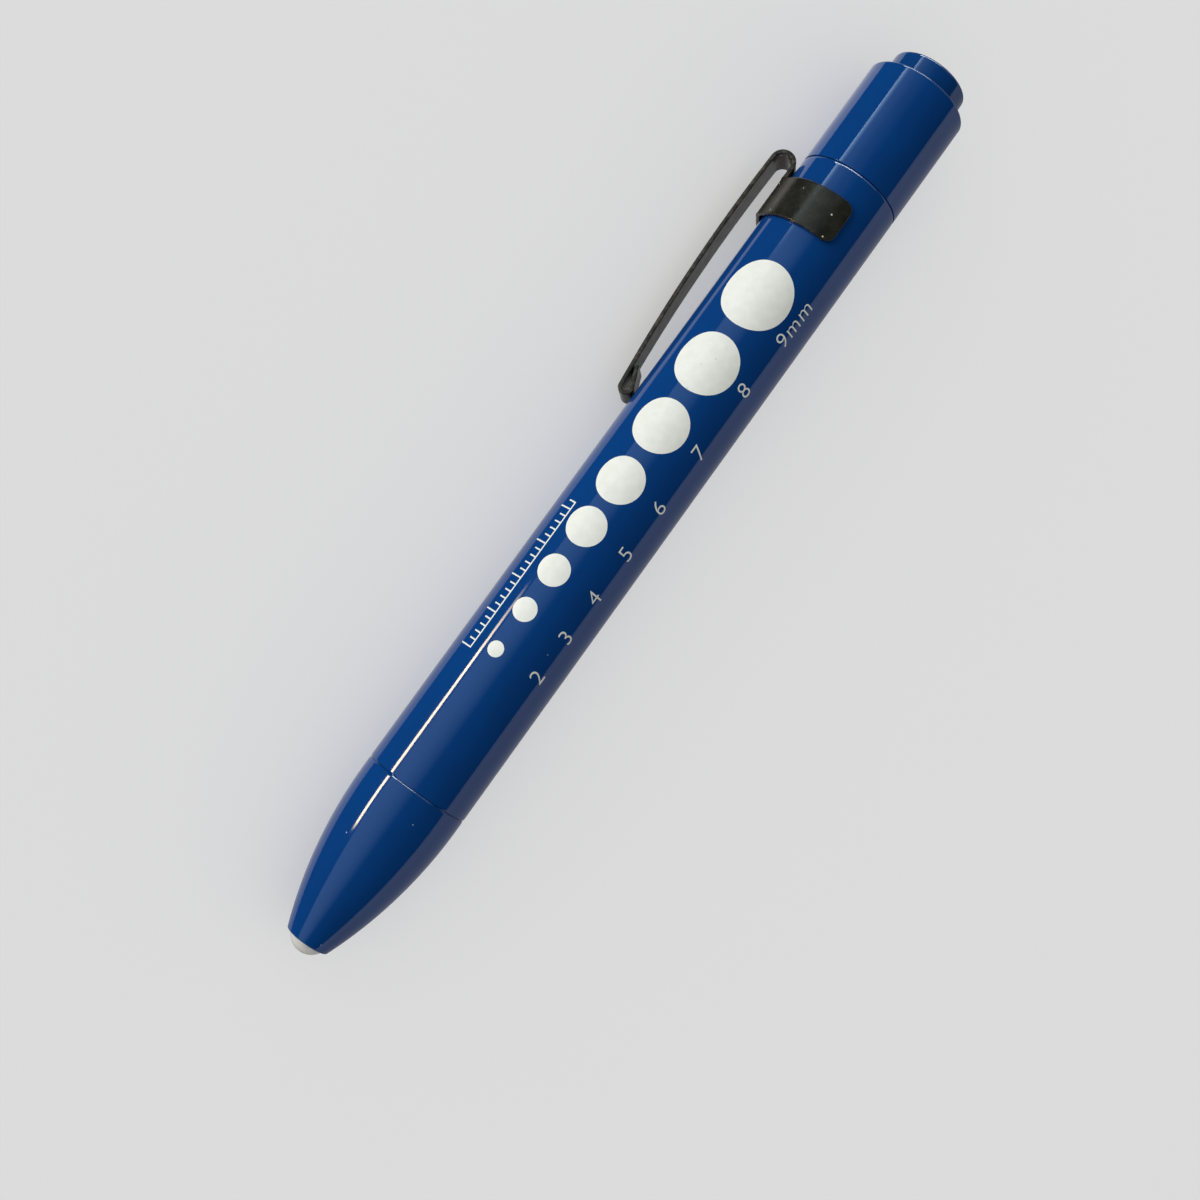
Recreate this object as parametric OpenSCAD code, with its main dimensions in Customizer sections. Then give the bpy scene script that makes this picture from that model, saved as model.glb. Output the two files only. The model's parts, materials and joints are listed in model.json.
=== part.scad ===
// Pocket penlight: a painted tube with an ogive nose, a momentary push button in the tail
// and a one-piece spring clip. Modelled along Z from the nose rim, then laid on its side.

/* [Cells] */
// Diameter of one cell over its sleeve
cell_d = 10.5; // [9:0.1:15]
// Length of one cell from the positive nub to the end plate
cell_length = 44.5; // [30:0.5:60]
// Diameter of the positive nub
nub_d = 3.8; // [2:0.1:5]
// Height of the positive nub
nub_height = 1; // [0.6:0.1:2]
// Thickness of the steel can
can_wall = 0.25; // [0.15:0.05:0.5]
// Thickness of the printed sleeve round a cell
sleeve_wall = 0.1; // [0.08:0.02:0.3]

/* [Tube] */
// Free space round a cell in the bore
cell_room = 0.35; // [0.2:0.05:1]
// Wall of the threaded sleeves that go into the barrel
spigot_wall = 0.55; // [0.4:0.05:1.5]
// Wall of the barrel round a threaded sleeve
socket_wall = 0.55; // [0.4:0.05:2]
// Length of the threaded sleeves
thread_length = 5; // [3:0.5:8]
// Thread pitch of the tail cap
thread_pitch = 0.75; // [0.5:0.05:1.2]
// Turns that take the tail cap off its thread
cap_turns = 6; // [3:1:8]
// Bevel on the edges at both seams
seam_bevel = 0.1; // [0.1:0.05:0.4]
// Gap between the faces at a seam
seam_gap = 0.05; // [0.03:0.01:0.1]

/* [Nose] */
// Length from the nose rim to the front seam
nose_length = 21.8; // [19:0.1:26]
// Straight band of the nose beside the front seam
nose_lip = 1.4; // [0.6:0.1:3]
// Thickness of the nose rim round the lamp
nose_rim = 0.25; // [0.15:0.05:0.6]

/* [Lamp] */
// Diameter of the lamp lens
lamp_d = 5; // [4:0.1:6]
// How far the lamp dome stands out of the nose rim
lamp_proud = 1.75; // [1:0.05:2.4]
// Height of the lamp from dome to base
lamp_height = 8.6; // [7:0.1:10]
// Width of the lamp's base flange past the lens
lamp_flange = 0.4; // [0.2:0.05:0.6]
// Thickness of the lamp's base flange
lamp_flange_t = 1; // [0.6:0.1:1.5]
// Distance between the lamp leads
lead_pitch = 2.54; // [2.2:0.02:2.8]
// Side of a square lamp lead
lead_w = 0.5; // [0.4:0.02:0.6]
// Diameter of the lamp holder
holder_d = 8.5; // [8:0.1:9]
// Length of the lamp holder's barrel
holder_length = 4.2; // [3:0.1:5]
// Diameter of the contact board and the lamp ring
board_d = 9.9; // [9.3:0.1:10.2]
// Thickness of the contact board
board_t = 1; // [0.6:0.1:1.6]
// Height of the lamp ring
lamp_ring_h = 2; // [1.2:0.1:3]
// Height of the front contact over the board
front_contact_h = 3.5; // [2.6:0.1:5]

/* [Tail] */
// Length of the tail cap from the rear seam to its rim
cap_length = 14.8; // [13.5:0.1:20]
// Distance from the end of the rear cell to the rear seam
tail_room = 6.05; // [5.4:0.05:9]
// Thickness of the cap's end wall round the button
cap_end = 1.45; // [1:0.05:2.5]
// Rounding of the cap's rim
cap_round = 0.45; // [0.2:0.05:0.8]
// Installed length of the battery spring
battery_spring_h = 7.5; // [6:0.1:8.5]
// Wire of the battery spring
battery_wire = 0.5; // [0.35:0.05:0.6]
// Outer diameter of the battery spring at the cell
battery_spring_d = 8.6; // [7:0.1:9.5]
// Outer diameter of the battery spring at the plunger
battery_spring_tip_d = 4.6; // [4:0.1:5.5]

/* [Button] */
// How far the button stands out of the rim
button_proud = 3.1; // [2.4:0.1:4]
// Travel of the button
button_travel = 2; // [1:0.1:2.2]
// Width of the lip that keeps the button in the cap
button_lip = 0.3; // [0.2:0.05:0.6]
// Thickness of the button's flange
button_flange_t = 1.4; // [0.8:0.1:2]
// Thickness of the button's side wall
button_wall = 0.9; // [0.6:0.1:1.2]
// Thickness of the button's end wall
button_end = 1.25; // [0.8:0.05:2]
// Rounding of the button's edge
button_round = 0.4; // [0.2:0.05:0.7]
// Diameter of the plunger rod and the button's stem
rod_d = 2.5; // [2:0.1:3]
// Diameter of the plunger's contact head
plunger_head_d = 8; // [7.6:0.1:8.4]
// Thickness of the plunger's contact head
plunger_head_t = 0.8; // [0.5:0.1:1.2]
// Thickness of the contact ring
contact_ring_t = 1.1; // [0.8:0.1:1.6]
// Thickness of the switch housing's floor
housing_t = 2.5; // [1.5:0.1:3]
// Wall of the switch housing's skirt
housing_wall = 1.1; // [0.8:0.1:1.2]
// Wall of the switch housing's guide
guide_wall = 1; // [0.7:0.1:1.2]
// Wire of the button spring
button_wire = 0.45; // [0.3:0.05:0.5]

/* [Clip] */
// Thickness of the clip's spring steel
clip_t = 0.55; // [0.4:0.05:0.8]
// Width of the band along the barrel
band_w = 5.6; // [4:0.1:8]
// How far the band reaches round the barrel on each side
band_reach = 117; // [100:1:125]
// Rounding of the band's corners
band_round = 1.2; // [0.8:0.1:2.2]
// Distance from the rear seam to the band
band_below_seam = 3.9; // [3:0.1:8]
// Distance from the rear seam to the bend of the clip
bend_below_seam = 0.35; // [0.3:0.05:2]
// Outer radius of the clip's bend
bend_r = 1.68; // [1.4:0.02:2.4]
// Length of the clip from the bend to the rolled tip
clip_length = 37; // [25:0.5:45]
// Distance from the bend's centre to the crown of the arm's outward bow
arm_bow_at = 8; // [6:0.1:10]
// Gap between the rolled tip and the barrel
tip_gap = 0.07; // [0.05:0.01:0.3]
// Width of the arm at the bend
arm_w = 4.6; // [4:0.1:5]
// Width of the arm at the tip
arm_tip_w = 3.9; // [3:0.1:4.5]
// Outer radius of the rolled tip
roll_r = 1; // [0.9:0.05:1.1]
// Length of the rolled tip
roll_length = 4.1; // [3.4:0.1:6]

/* [Fits] */
// Radial clearance of pieces that slide or turn
run_gap = 0.1; // [0.05:0.01:0.15]
// Clearance of pieces that are seated
seat_gap = 0.05; // [0.03:0.01:0.08]

/* [Hidden] */
$fn = 96;
eps = 0.01;
spring_sides = 6;
spring_rings = 8;
bend_steps = 12;
bow_steps = 24;
split_turn = 0.7;

// Radii from the cell outwards
cell_r = cell_d / 2;
bore_r = cell_r + cell_room;
spigot_r = bore_r + spigot_wall;
socket_r = spigot_r + seat_gap;
body_r = socket_r + socket_wall;

// Lamp and board places along the pen
lamp_r = lamp_d / 2;
lamp_tip_z = -lamp_proud;
dome_z = lamp_tip_z + lamp_r;
lamp_base_z = lamp_tip_z + lamp_height;
flange_z = lamp_base_z - lamp_flange_t;
flange_r = lamp_r + lamp_flange;
lamp_hole_r = lamp_r + run_gap;
nose_tip_r = lamp_hole_r + nose_rim;
holder_r = holder_d / 2;
holder_boss = 0.5;
holder_z = lamp_base_z + holder_boss;
holder_rim_z = holder_z + holder_length;
holder_rim_t = 0.8;
board_r = board_d / 2;
board_z = holder_rim_z + holder_rim_t + 2 * seat_gap;
contact_z = board_z + board_t + seat_gap;
lamp_ring_r = board_r * 0.66;
front_contact_r = 1.3;
front_contact_base_r = 2;
front_contact_base_t = 0.5;
cup_z = dome_z + 1.1;
cup_r = 0.8;
cup_depth = 0.4;
chip_w = 0.4;
chip_t = 0.15;
lead_x = lead_pitch / 2;
lead_block = [0.9, 0.8, 1.6];
resistor = [1.6, 0.8, 0.45];
resistor_y = 2.7;

// Cell stack
cells_z = contact_z + front_contact_h + seat_gap;
cells_end_z = cells_z + 2 * cell_length;
can_r = cell_r - sleeve_wall;
cell_end_room = 0.3;
cell_end_t = 0.7;
cell_seal_t = 1.4;
cell_lap = 0.03;

// Nose outline: an arc that meets the straight lip and the rim
arc_z = nose_length - nose_lip;
arc_drop = body_r - nose_tip_r;
arc_r = (arc_z * arc_z + arc_drop * arc_drop) / (2 * arc_drop);
nose_cell_z = contact_z + lamp_ring_h + 0.4;

// Tail places along the pen
seam_z = cells_end_z + tail_room;
barrel_z = nose_length + seam_gap;
rim_z = seam_z + cap_length;
button_top_z = rim_z + button_proud;
button_r = bore_r - 2 * run_gap - button_lip;
button_flange_r = bore_r - run_gap;
button_flange_z = rim_z - cap_end - seat_gap;
button_foot_z = button_flange_z - button_flange_t;
button_roof_z = button_top_z - button_end;
button_hole_r = button_r - button_wall;
rod_r = rod_d / 2;
stem_z = button_foot_z - 1.5;
head_z = cells_end_z + battery_spring_h;
head_r = plunger_head_d / 2;
contact_ring_z = head_z - button_travel - run_gap - contact_ring_t;
housing_z = head_z + plunger_head_t + seat_gap;
housing_r = bore_r - seat_gap;
housing_skirt_z = contact_ring_z + contact_ring_t + seat_gap;
spring_seat_z = housing_z + housing_t;
guide_r = rod_r + run_gap + guide_wall;
guide_z = stem_z - button_travel - 2 * run_gap;

// Springs: mean radii, turns and heights of the wire's centre
battery_r0 = (battery_spring_d - battery_wire) / 2;
battery_r1 = (battery_spring_tip_d - battery_wire) / 2;
battery_turns = 4;
battery_z0 = cells_end_z + seat_gap + battery_wire / 2;
battery_z1 = head_z - seat_gap - battery_wire / 2;
button_spring_r = (guide_r + button_hole_r) / 2;
button_turns = 7;
button_z0 = spring_seat_z + seat_gap + button_wire / 2;
button_z1 = button_roof_z - seat_gap - button_wire / 2;
ring_at = (contact_ring_z - battery_z0) / (battery_z1 - battery_z0);
contact_ring_hole = battery_r0 + (battery_r1 - battery_r0) * ring_at + battery_wire / 2 + 2 * run_gap;

// Clip outline in the plane of the arm: X is the distance from the pen's axis
band_r = body_r + seat_gap;
band_z = seam_z - band_below_seam - band_w;
band_flat = arm_w / 2 + 0.15;
flat_turn = 1.8 * atan2(band_flat, band_r);
bend_z = seam_z - bend_below_seam - bend_r;
bend_x = band_r + bend_r;
tip_z = bend_z + bend_r - clip_length;
roll_z = tip_z + roll_r;
roll_x = body_r + tip_gap + roll_r;
bow_z = bend_z - arm_bow_at;
arm_bow_r = bow_radius(bend_r, roll_r, arm_bow_at, bow_z - roll_z, bend_x - roll_x);
bow_x = bend_x - sqrt(pow(arm_bow_r - bend_r, 2) - pow(arm_bow_at, 2));
crown_x = bow_x + arm_bow_r;
bend_turn = asin(arm_bow_at / (arm_bow_r - bend_r));
roll_turn = asin((bow_z - roll_z) / (arm_bow_r - roll_r));
bow_turn = (bend_turn + roll_turn) / bow_steps;
flap_z = tip_z + roll_length;
flap_x = bow_x + sqrt(pow(arm_bow_r - clip_t, 2) - pow(bow_z - flap_z, 2)) - clip_t - seat_gap;
flap_reach = norm([flap_x - roll_x, flap_z - roll_z]);
flap_turn = atan2(flap_z - roll_z, flap_x - roll_x) + acos(roll_r / flap_reach);
arm_taper = (arm_w - arm_tip_w) / (bend_z - tip_z);

// Rest on the band and the arm's lower edge, with the floor at zero
rest_h = band_r + clip_t;
rest_steps = [0:0.1:arm_bow_at];
clip_droop = min([for (s = rest_steps) droop_at(arm_edge(s))]);
clip_side = max([for (s = rest_steps) edge_side(arm_edge(s))]);
mid_x = (button_top_z + lamp_tip_z) / 2;
mid_y = (clip_side - body_r) / 2;

paint_blue = [0.02, 0.13, 0.42];
clip_black = [0.08, 0.08, 0.08];
steel = [0.72, 0.73, 0.75];
brass = [0.80, 0.62, 0.28];
white_plastic = [0.88, 0.88, 0.85];
black_plastic = [0.10, 0.10, 0.11];

// Lays the pen on its side: nose to -X, tail to +X, clip towards +Y
module laid() {
    translate([-mid_x, -mid_y, rest_h])
        rotate([90 - clip_droop, 0, 0])
            rotate([0, 90, 0])
                children();
}

// A ring about the pen's axis between two radii and two heights
module ring(outer, inner, z0, z1) {
    translate([0, 0, z0])
        difference() {
            cylinder(r = outer, h = z1 - z0);
            translate([0, 0, -eps])
                cylinder(r = inner, h = z1 - z0 + 2 * eps);
        }
}

// A solid disc about the pen's axis between two heights
module disc(r, z0, z1) {
    translate([0, 0, z0])
        cylinder(r = r, h = z1 - z0);
}

// Rectangle of a turned profile: X is the radius, Y the place along the pen
module cross(r0, r1, z0, z1) {
    translate([r0, z0])
        square([r1 - r0, z1 - z0]);
}

// Bevel cut at the outer corner of a turned profile; side is 1 at a top end and -1 at a bottom end
module bevel_cut(r, z, size, side) {
    polygon([[r + eps, z + side * eps], [r - size, z + side * eps], [r + eps, z - side * size]]);
}

// Round cut at the outer top corner of a turned profile
module round_cut(r, z, size) {
    difference() {
        translate([r - size, z - size])
            square(size + eps);
        translate([r - size, z - size])
            circle(size);
    }
}

// One unbroken wire wound from z0 to z1, with its mean radius going from r0 to r1
module coil(r0, r1, z0, z1, turns, wire) {
    steps = turns * spring_rings;
    points = [for (i = [0:steps], k = [0:spring_sides - 1])
        coil_point(r0, r1, z0, z1, turns, i / steps, wire / 2, 360 * k / spring_sides)];
    side = [for (i = [0:steps - 1], k = [0:spring_sides - 1], half = [0, 1])
        coil_face(i * spring_sides, k, (k + 1) % spring_sides, half)];
    start = [for (k = [1:spring_sides - 2]) [0, k, k + 1]];
    last = steps * spring_sides;
    end = [for (k = [1:spring_sides - 2]) [last, last + k + 1, last + k]];
    polyhedron(points, concat(side, start, end), convexity = 10);
}

function coil_point(r0, r1, z0, z1, turns, t, wire_r, a) =
    let (r = r0 + (r1 - r0) * t + wire_r * cos(a), turn = 360 * turns * t)
    [r * cos(turn), r * sin(turn), z0 + (z1 - z0) * t + wire_r * sin(a)];

function coil_face(base, k, next, half) =
    half == 0
        ? [base + k, base + spring_sides + k, base + next]
        : [base + next, base + spring_sides + k, base + spring_sides + next];

// Least gap between neighbouring turns of a coil, measured on the points of its wire's centre
function coil_gap(r0, r1, z0, z1, turns, wire) =
    let (steps = turns * spring_rings)
    min([for (i = [0:steps - spring_rings], j = [i + spring_rings - 1:min(steps, i + spring_rings + 1)])
        norm(coil_point(r0, r1, z0, z1, turns, i / steps, 0, 0)
            - coil_point(r0, r1, z0, z1, turns, j / steps, 0, 0)) - wire]);

echo(battery_spring_gap = coil_gap(battery_r0, battery_r1, battery_z0, battery_z1, battery_turns, battery_wire));
echo(button_spring_gap =
    coil_gap(button_spring_r, button_spring_r, button_z0, button_z1, button_turns, button_wire));

// Outer outline of the nose, filled to the axis
module nose_outline() {
    intersection() {
        cross(0, body_r, 0, nose_length);
        union() {
            cross(0, body_r, arc_z, nose_length);
            translate([body_r - arc_r, arc_z])
                circle(arc_r, $fn = 360);
        }
    }
}

module nose_cone() {
    color(paint_blue)
        rotate_extrude()
            difference() {
                union() {
                    difference() {
                        nose_outline();
                        bevel_cut(body_r, nose_length, seam_bevel, 1);
                    }
                    cross(bore_r, spigot_r, nose_length - eps, nose_length + thread_length);
                }
                cross(0, lamp_hole_r, -eps, flange_z);
                cross(0, flange_r + run_gap, flange_z - seat_gap, holder_z);
                cross(0, holder_r + seat_gap, holder_z - seat_gap, holder_rim_z);
                cross(0, board_r + seat_gap, holder_rim_z - eps, nose_cell_z);
                cross(0, bore_r, nose_cell_z - eps, nose_length + thread_length + eps);
            }
}

// Body of a lamp lead with its block inside the lens; grow widens it into its own hollow
module lead(y, grow) {
    w = lead_w + 2 * grow;
    translate([-w / 2, y - w / 2, cup_z + 0.3 - grow])
        cube([w, w, contact_z - 2 * seat_gap - cup_z - 0.3 + 2 * grow]);
    translate([-lead_block.x / 2 - grow, y - lead_block.y / 2 - grow, cup_z + 0.3 - grow])
        cube(lead_block + 2 * grow * [1, 1, 1]);
}

// Cup that holds the chip, joined to the cathode's block
module chip_cup(grow) {
    disc(cup_r + grow, cup_z - grow, cup_z + 1.2 + grow);
    translate([-lead_block.x / 2 - grow, -lead_x - grow, cup_z + 0.5 - grow])
        cube([lead_block.x + 2 * grow, lead_x + 2 * grow, 0.7 + 2 * grow]);
}

module lamp_cathode() {
    color(steel)
        difference() {
            union() {
                lead(-lead_x, 0);
                chip_cup(0);
            }
            translate([0, 0, cup_z - eps])
                cylinder(r1 = cup_r - 0.1, r2 = chip_w, h = cup_depth + eps);
        }
}

module lamp_anode() {
    color(steel)
        lead(lead_x, 0);
}

module lamp_chip() {
    color([0.95, 0.85, 0.25])
        translate([-chip_w / 2, -chip_w / 2, cup_z + cup_depth - chip_t - cell_lap])
            cube([chip_w, chip_w, chip_t]);
}

module lamp_lens() {
    color([0.86, 0.88, 0.86])
        difference() {
            union() {
                translate([0, 0, dome_z])
                    sphere(lamp_r);
                disc(lamp_r, dome_z, lamp_base_z);
                disc(flange_r, flange_z, lamp_base_z);
            }
            lead(-lead_x, cell_lap);
            lead(lead_x, cell_lap);
            chip_cup(cell_lap);
        }
}

// Two holes for the lamp leads
module lead_holes(z0, z1) {
    for (side = [-1, 1])
        translate([0, side * lead_x, 0])
            disc(lead_w * 0.71 + run_gap, z0, z1);
}

module lamp_holder() {
    color(white_plastic)
        difference() {
            union() {
                disc(flange_r, lamp_base_z + seat_gap, holder_z + eps);
                disc(holder_r, holder_z, holder_rim_z + 2 * seat_gap);
                disc(board_r, holder_rim_z + seat_gap, holder_rim_z + seat_gap + holder_rim_t);
            }
            lead_holes(lamp_base_z, board_z);
            translate([-resistor.x / 2 - run_gap, resistor_y - resistor.y / 2 - run_gap, board_z - resistor.z - 0.2])
                cube([resistor.x + 2 * run_gap, resistor.y + 2 * run_gap, resistor.z + 0.2]);
        }
}

module contact_board() {
    color([0.05, 0.30, 0.14])
        difference() {
            disc(board_r, board_z, board_z + board_t);
            lead_holes(board_z - eps, board_z + board_t + eps);
        }
}

module series_resistor() {
    color(black_plastic)
        translate([-resistor.x / 2, resistor_y - resistor.y / 2, board_z - seat_gap - resistor.z])
            cube(resistor);
}

module front_contact() {
    color(brass) {
        disc(front_contact_base_r, contact_z, contact_z + front_contact_base_t);
        disc(front_contact_r, contact_z, contact_z + front_contact_h - front_contact_r);
        translate([0, 0, contact_z + front_contact_h - front_contact_r])
            sphere(front_contact_r);
    }
}

module lamp_ring() {
    slot = [2 * board_d, 1.2, 0.8];
    color(brass)
        difference() {
            ring(board_r, lamp_ring_r, contact_z, contact_z + lamp_ring_h);
            translate([-slot.x / 2, -slot.y / 2, contact_z + lamp_ring_h - slot.z])
                cube([slot.x, slot.y, slot.z + eps]);
        }
}

module barrel() {
    socket = thread_length + 2 * seat_gap;
    color(paint_blue)
        rotate_extrude()
            difference() {
                cross(bore_r, body_r, barrel_z, seam_z - seam_gap);
                bevel_cut(body_r, barrel_z, seam_bevel, -1);
                bevel_cut(body_r, seam_z - seam_gap, seam_bevel, 1);
                cross(0, socket_r, barrel_z - eps, nose_length + socket);
                cross(0, socket_r, seam_z - socket, seam_z);
            }
}

// Steel can of a cell whose nub is at z, closed at the nub's end
module cell_can(z) {
    color(steel)
        rotate_extrude()
            difference() {
                union() {
                    cross(0, nub_d / 2, z, z + nub_height + eps);
                    cross(0, can_r, z + nub_height, z + cell_length - cell_end_room);
                }
                cross(0, can_r - can_wall, z + nub_height + can_wall, z + cell_length);
            }
}

// Packed filling of a cell
module cell_core(z) {
    z0 = z + nub_height + can_wall + cell_lap;
    z1 = z + cell_length - cell_end_t - cell_seal_t - 2 * cell_lap;
    color([0.15, 0.15, 0.16])
        disc(can_r - can_wall - cell_lap, z0, z1);
}

// Seal that closes a cell under its end plate
module cell_seal(z) {
    z1 = z + cell_length - cell_end_t - cell_lap;
    color(white_plastic)
        disc(can_r - can_wall - cell_lap, z1 - cell_seal_t, z1);
}

// Negative end plate of a cell
module cell_end(z) {
    color(steel)
        disc(can_r - 2.5 * can_wall, z + cell_length - cell_end_t, z + cell_length);
}

// Printed sleeve round a cell
module cell_sleeve(z) {
    color([0.16, 0.17, 0.18])
        ring(cell_r, can_r + cell_lap / 2, z + nub_height + cell_end_room, z + cell_length - 2 * cell_end_room);
}

module battery_spring() {
    color(steel)
        coil(battery_r0, battery_r1, battery_z0, battery_z1, battery_turns, battery_wire);
}

module contact_plunger() {
    color(brass) {
        disc(head_r, head_z, head_z + plunger_head_t);
        disc(rod_r, head_z, stem_z - seat_gap);
    }
}

module contact_ring() {
    color(brass)
        ring(bore_r - seat_gap, contact_ring_hole, contact_ring_z, contact_ring_z + contact_ring_t);
}

module switch_housing() {
    color(white_plastic)
        difference() {
            union() {
                ring(housing_r, housing_r - housing_wall, housing_skirt_z, housing_z + eps);
                disc(housing_r, housing_z, spring_seat_z);
                disc(guide_r, housing_z, guide_z);
            }
            disc(rod_r + run_gap, housing_z - eps, guide_z + eps);
        }
}

module button_spring() {
    color(steel)
        coil(button_spring_r, button_spring_r, button_z0, button_z1, button_turns, button_wire);
}

module push_button() {
    color(paint_blue)
        rotate_extrude()
            difference() {
                union() {
                    cross(0, button_r, button_foot_z, button_top_z);
                    cross(0, button_flange_r, button_foot_z, button_flange_z);
                    cross(0, rod_r, stem_z, button_foot_z + eps);
                }
                round_cut(button_r, button_top_z, button_round);
                cross(rod_r, button_hole_r, button_foot_z - eps, button_roof_z);
            }
}

module tail_cap() {
    color(paint_blue)
        rotate_extrude()
            difference() {
                union() {
                    cross(0, body_r, seam_z, rim_z);
                    cross(0, spigot_r, seam_z - thread_length, seam_z + eps);
                }
                bevel_cut(body_r, seam_z, seam_bevel, -1);
                round_cut(body_r, rim_z, cap_round);
                cross(0, bore_r, seam_z - thread_length - eps, rim_z - cap_end);
                cross(0, button_r + run_gap, rim_z - cap_end - eps, rim_z + eps);
            }
}

// Radius of the arc that runs into two rounds of radius r0 and r1, whose centres lie a0 before
// and a1 after its crown, the second one drop lower
function bow_radius(r0, r1, a0, a1, drop) =
    let (step = r0 - r1)
    let (k = a1 * a1 - a0 * a0 + drop * drop - step * step)
    let (a = 4 * (drop * drop - step * step), b = 4 * k * step, c = k * k + pow(2 * drop * a0, 2))
    r0 + 2 * c / (b + sqrt(b * b + 4 * a * c));

// Corner of the arm's outer face, s further towards the bend than the crown of the bow
function arm_edge(s) =
    [bow_x + sqrt(pow(arm_bow_r, 2) - s * s), (arm_w - arm_taper * (arm_bow_at - s)) / 2];

// Turn about the pen's axis that brings a corner of the arm down to the floor
function droop_at(edge) = asin(rest_h / norm(edge)) - atan2(edge.y, edge.x);

// How far a corner of the arm then stands out sideways
function edge_side(edge) = edge.x * cos(clip_droop) + edge.y * sin(clip_droop);

// Cross-section of the band, filled: round, with a flat under the tab and a fold on each side of it
module band_section(r) {
    half = band_flat * r / band_r;
    fold = 0.97 * r * [cos(flat_turn), sin(flat_turn)];
    circle(r);
    polygon([[0, 0], [fold.x, -fold.y], [r, -half], [r, half], fold]);
}

// Wedge about the axis that keeps the part of the band within its reach
module band_wedge() {
    far = 4 * body_r;
    polygon([
        [0, 0],
        far * [cos(band_reach), -sin(band_reach)],
        far * [1, -1],
        far * [1, 1],
        far * [cos(band_reach), sin(band_reach)]
    ]);
}

// Cutters that round the corners at the ends of the band
module band_corners() {
    inset = 0.985 * band_round;
    for (side = [-1, 1], end = [0, 1])
        rotate([0, 0, side * band_reach])
            translate([0, -side * inset, band_z + inset + end * (band_w - 2 * inset)])
                rotate([0, 90, 0])
                    linear_extrude(height = 2 * body_r)
                        rotate(side > 0 ? 90 * end : 270 - 90 * end)
                            difference() {
                                square(band_round + 1);
                                circle(band_round);
                            }
}

// Points along an arc in the plane of the arm
function arc_points(x, z, r, from, to, steps) =
    [for (i = [0:steps]) let (a = from + (to - from) * i / steps) [x + r * cos(a), z + r * sin(a)]];

// One face of the tab and of its half of the bend, drawn in from the outer face
function tab_face(inset) = concat(
    [[band_r + inset, band_z + band_w - 1]],
    arc_points(bend_x, bend_z, bend_r - inset, 180, 90, bend_steps));

// One face of the arm, from the bend to the end of the rolled tip, drawn in from the outer face
function arm_face(inset) = concat(
    arc_points(bend_x, bend_z, bend_r - inset, 90 - split_turn, bend_turn, bend_steps),
    arc_points(bow_x, bow_z, arm_bow_r - inset, bend_turn - bow_turn, bow_turn - roll_turn, bow_steps),
    arc_points(roll_x, roll_z, roll_r - inset, -roll_turn, flap_turn - 360, 2 * bend_steps),
    [[flap_x, flap_z] - inset * [cos(flap_turn), sin(flap_turn)]]);

function reversed(list) = [for (i = [len(list) - 1:-1:0]) list[i]];

// Side view of a bent strip of the clip's thickness between its two faces
module strip_outline(outer, inner) {
    polygon(concat(outer, reversed(inner)));
}

// Turns a side view in the plane of the arm into a strip of the given width
module strip(w) {
    translate([0, w / 2, 0])
        rotate([90, 0, 0])
            linear_extrude(height = w)
                children();
}

// Plan of the arm, tapering from the bend to the tip, seen from outside
module arm_plan() {
    far = bend_z + 2 * bend_r;
    far_w = arm_w / 2;
    near_w = arm_tip_w / 2;
    rotate([90, 0, 90])
        linear_extrude(height = 2 * crown_x)
            polygon([
                [-near_w, tip_z],
                [near_w, tip_z],
                [far_w, bend_z],
                [far_w, far],
                [-far_w, far],
                [-far_w, bend_z]
            ]);
}

module clip_band() {
    color(clip_black) {
        difference() {
            translate([0, 0, band_z])
                linear_extrude(height = band_w)
                    difference() {
                        intersection() {
                            band_section(band_r + clip_t);
                            band_wedge();
                        }
                        band_section(band_r);
                    }
            band_corners();
        }
        strip(arm_w)
            strip_outline(tab_face(0), tab_face(clip_t));
    }
}

module clip_arm() {
    color(clip_black)
        intersection() {
            strip(2 * arm_w)
                strip_outline(arm_face(0), arm_face(clip_t));
            arm_plan();
        }
}

laid() nose_cone();
laid() lamp_lens();
laid() lamp_cathode();
laid() lamp_anode();
laid() lamp_chip();
laid() lamp_holder();
laid() contact_board();
laid() series_resistor();
laid() front_contact();
laid() lamp_ring();
laid() barrel();
laid() cell_can(cells_z);  // front_cell_can
laid() cell_core(cells_z);  // front_cell_core
laid() cell_seal(cells_z);  // front_cell_seal
laid() cell_end(cells_z);  // front_cell_end
laid() cell_sleeve(cells_z);  // front_cell_sleeve
laid() cell_can(cells_z + cell_length);  // rear_cell_can
laid() cell_core(cells_z + cell_length);  // rear_cell_core
laid() cell_seal(cells_z + cell_length);  // rear_cell_seal
laid() cell_end(cells_z + cell_length);  // rear_cell_end
laid() cell_sleeve(cells_z + cell_length);  // rear_cell_sleeve
laid() battery_spring();
laid() contact_plunger();
laid() switch_housing();
laid() contact_ring();
laid() button_spring();
laid() push_button();
laid() tail_cap();
laid() clip_band();
laid() clip_arm();
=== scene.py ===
"""Looks of a pocket penlight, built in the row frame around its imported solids."""

import json
import logging
import math
from dataclasses import dataclass
from enum import Enum
from functools import cache
from typing import Iterable, Sequence

import bmesh
import bpy
from bmesh.types import BMEdge, BMesh, BMVert
from mathutils import Matrix, Vector


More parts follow.
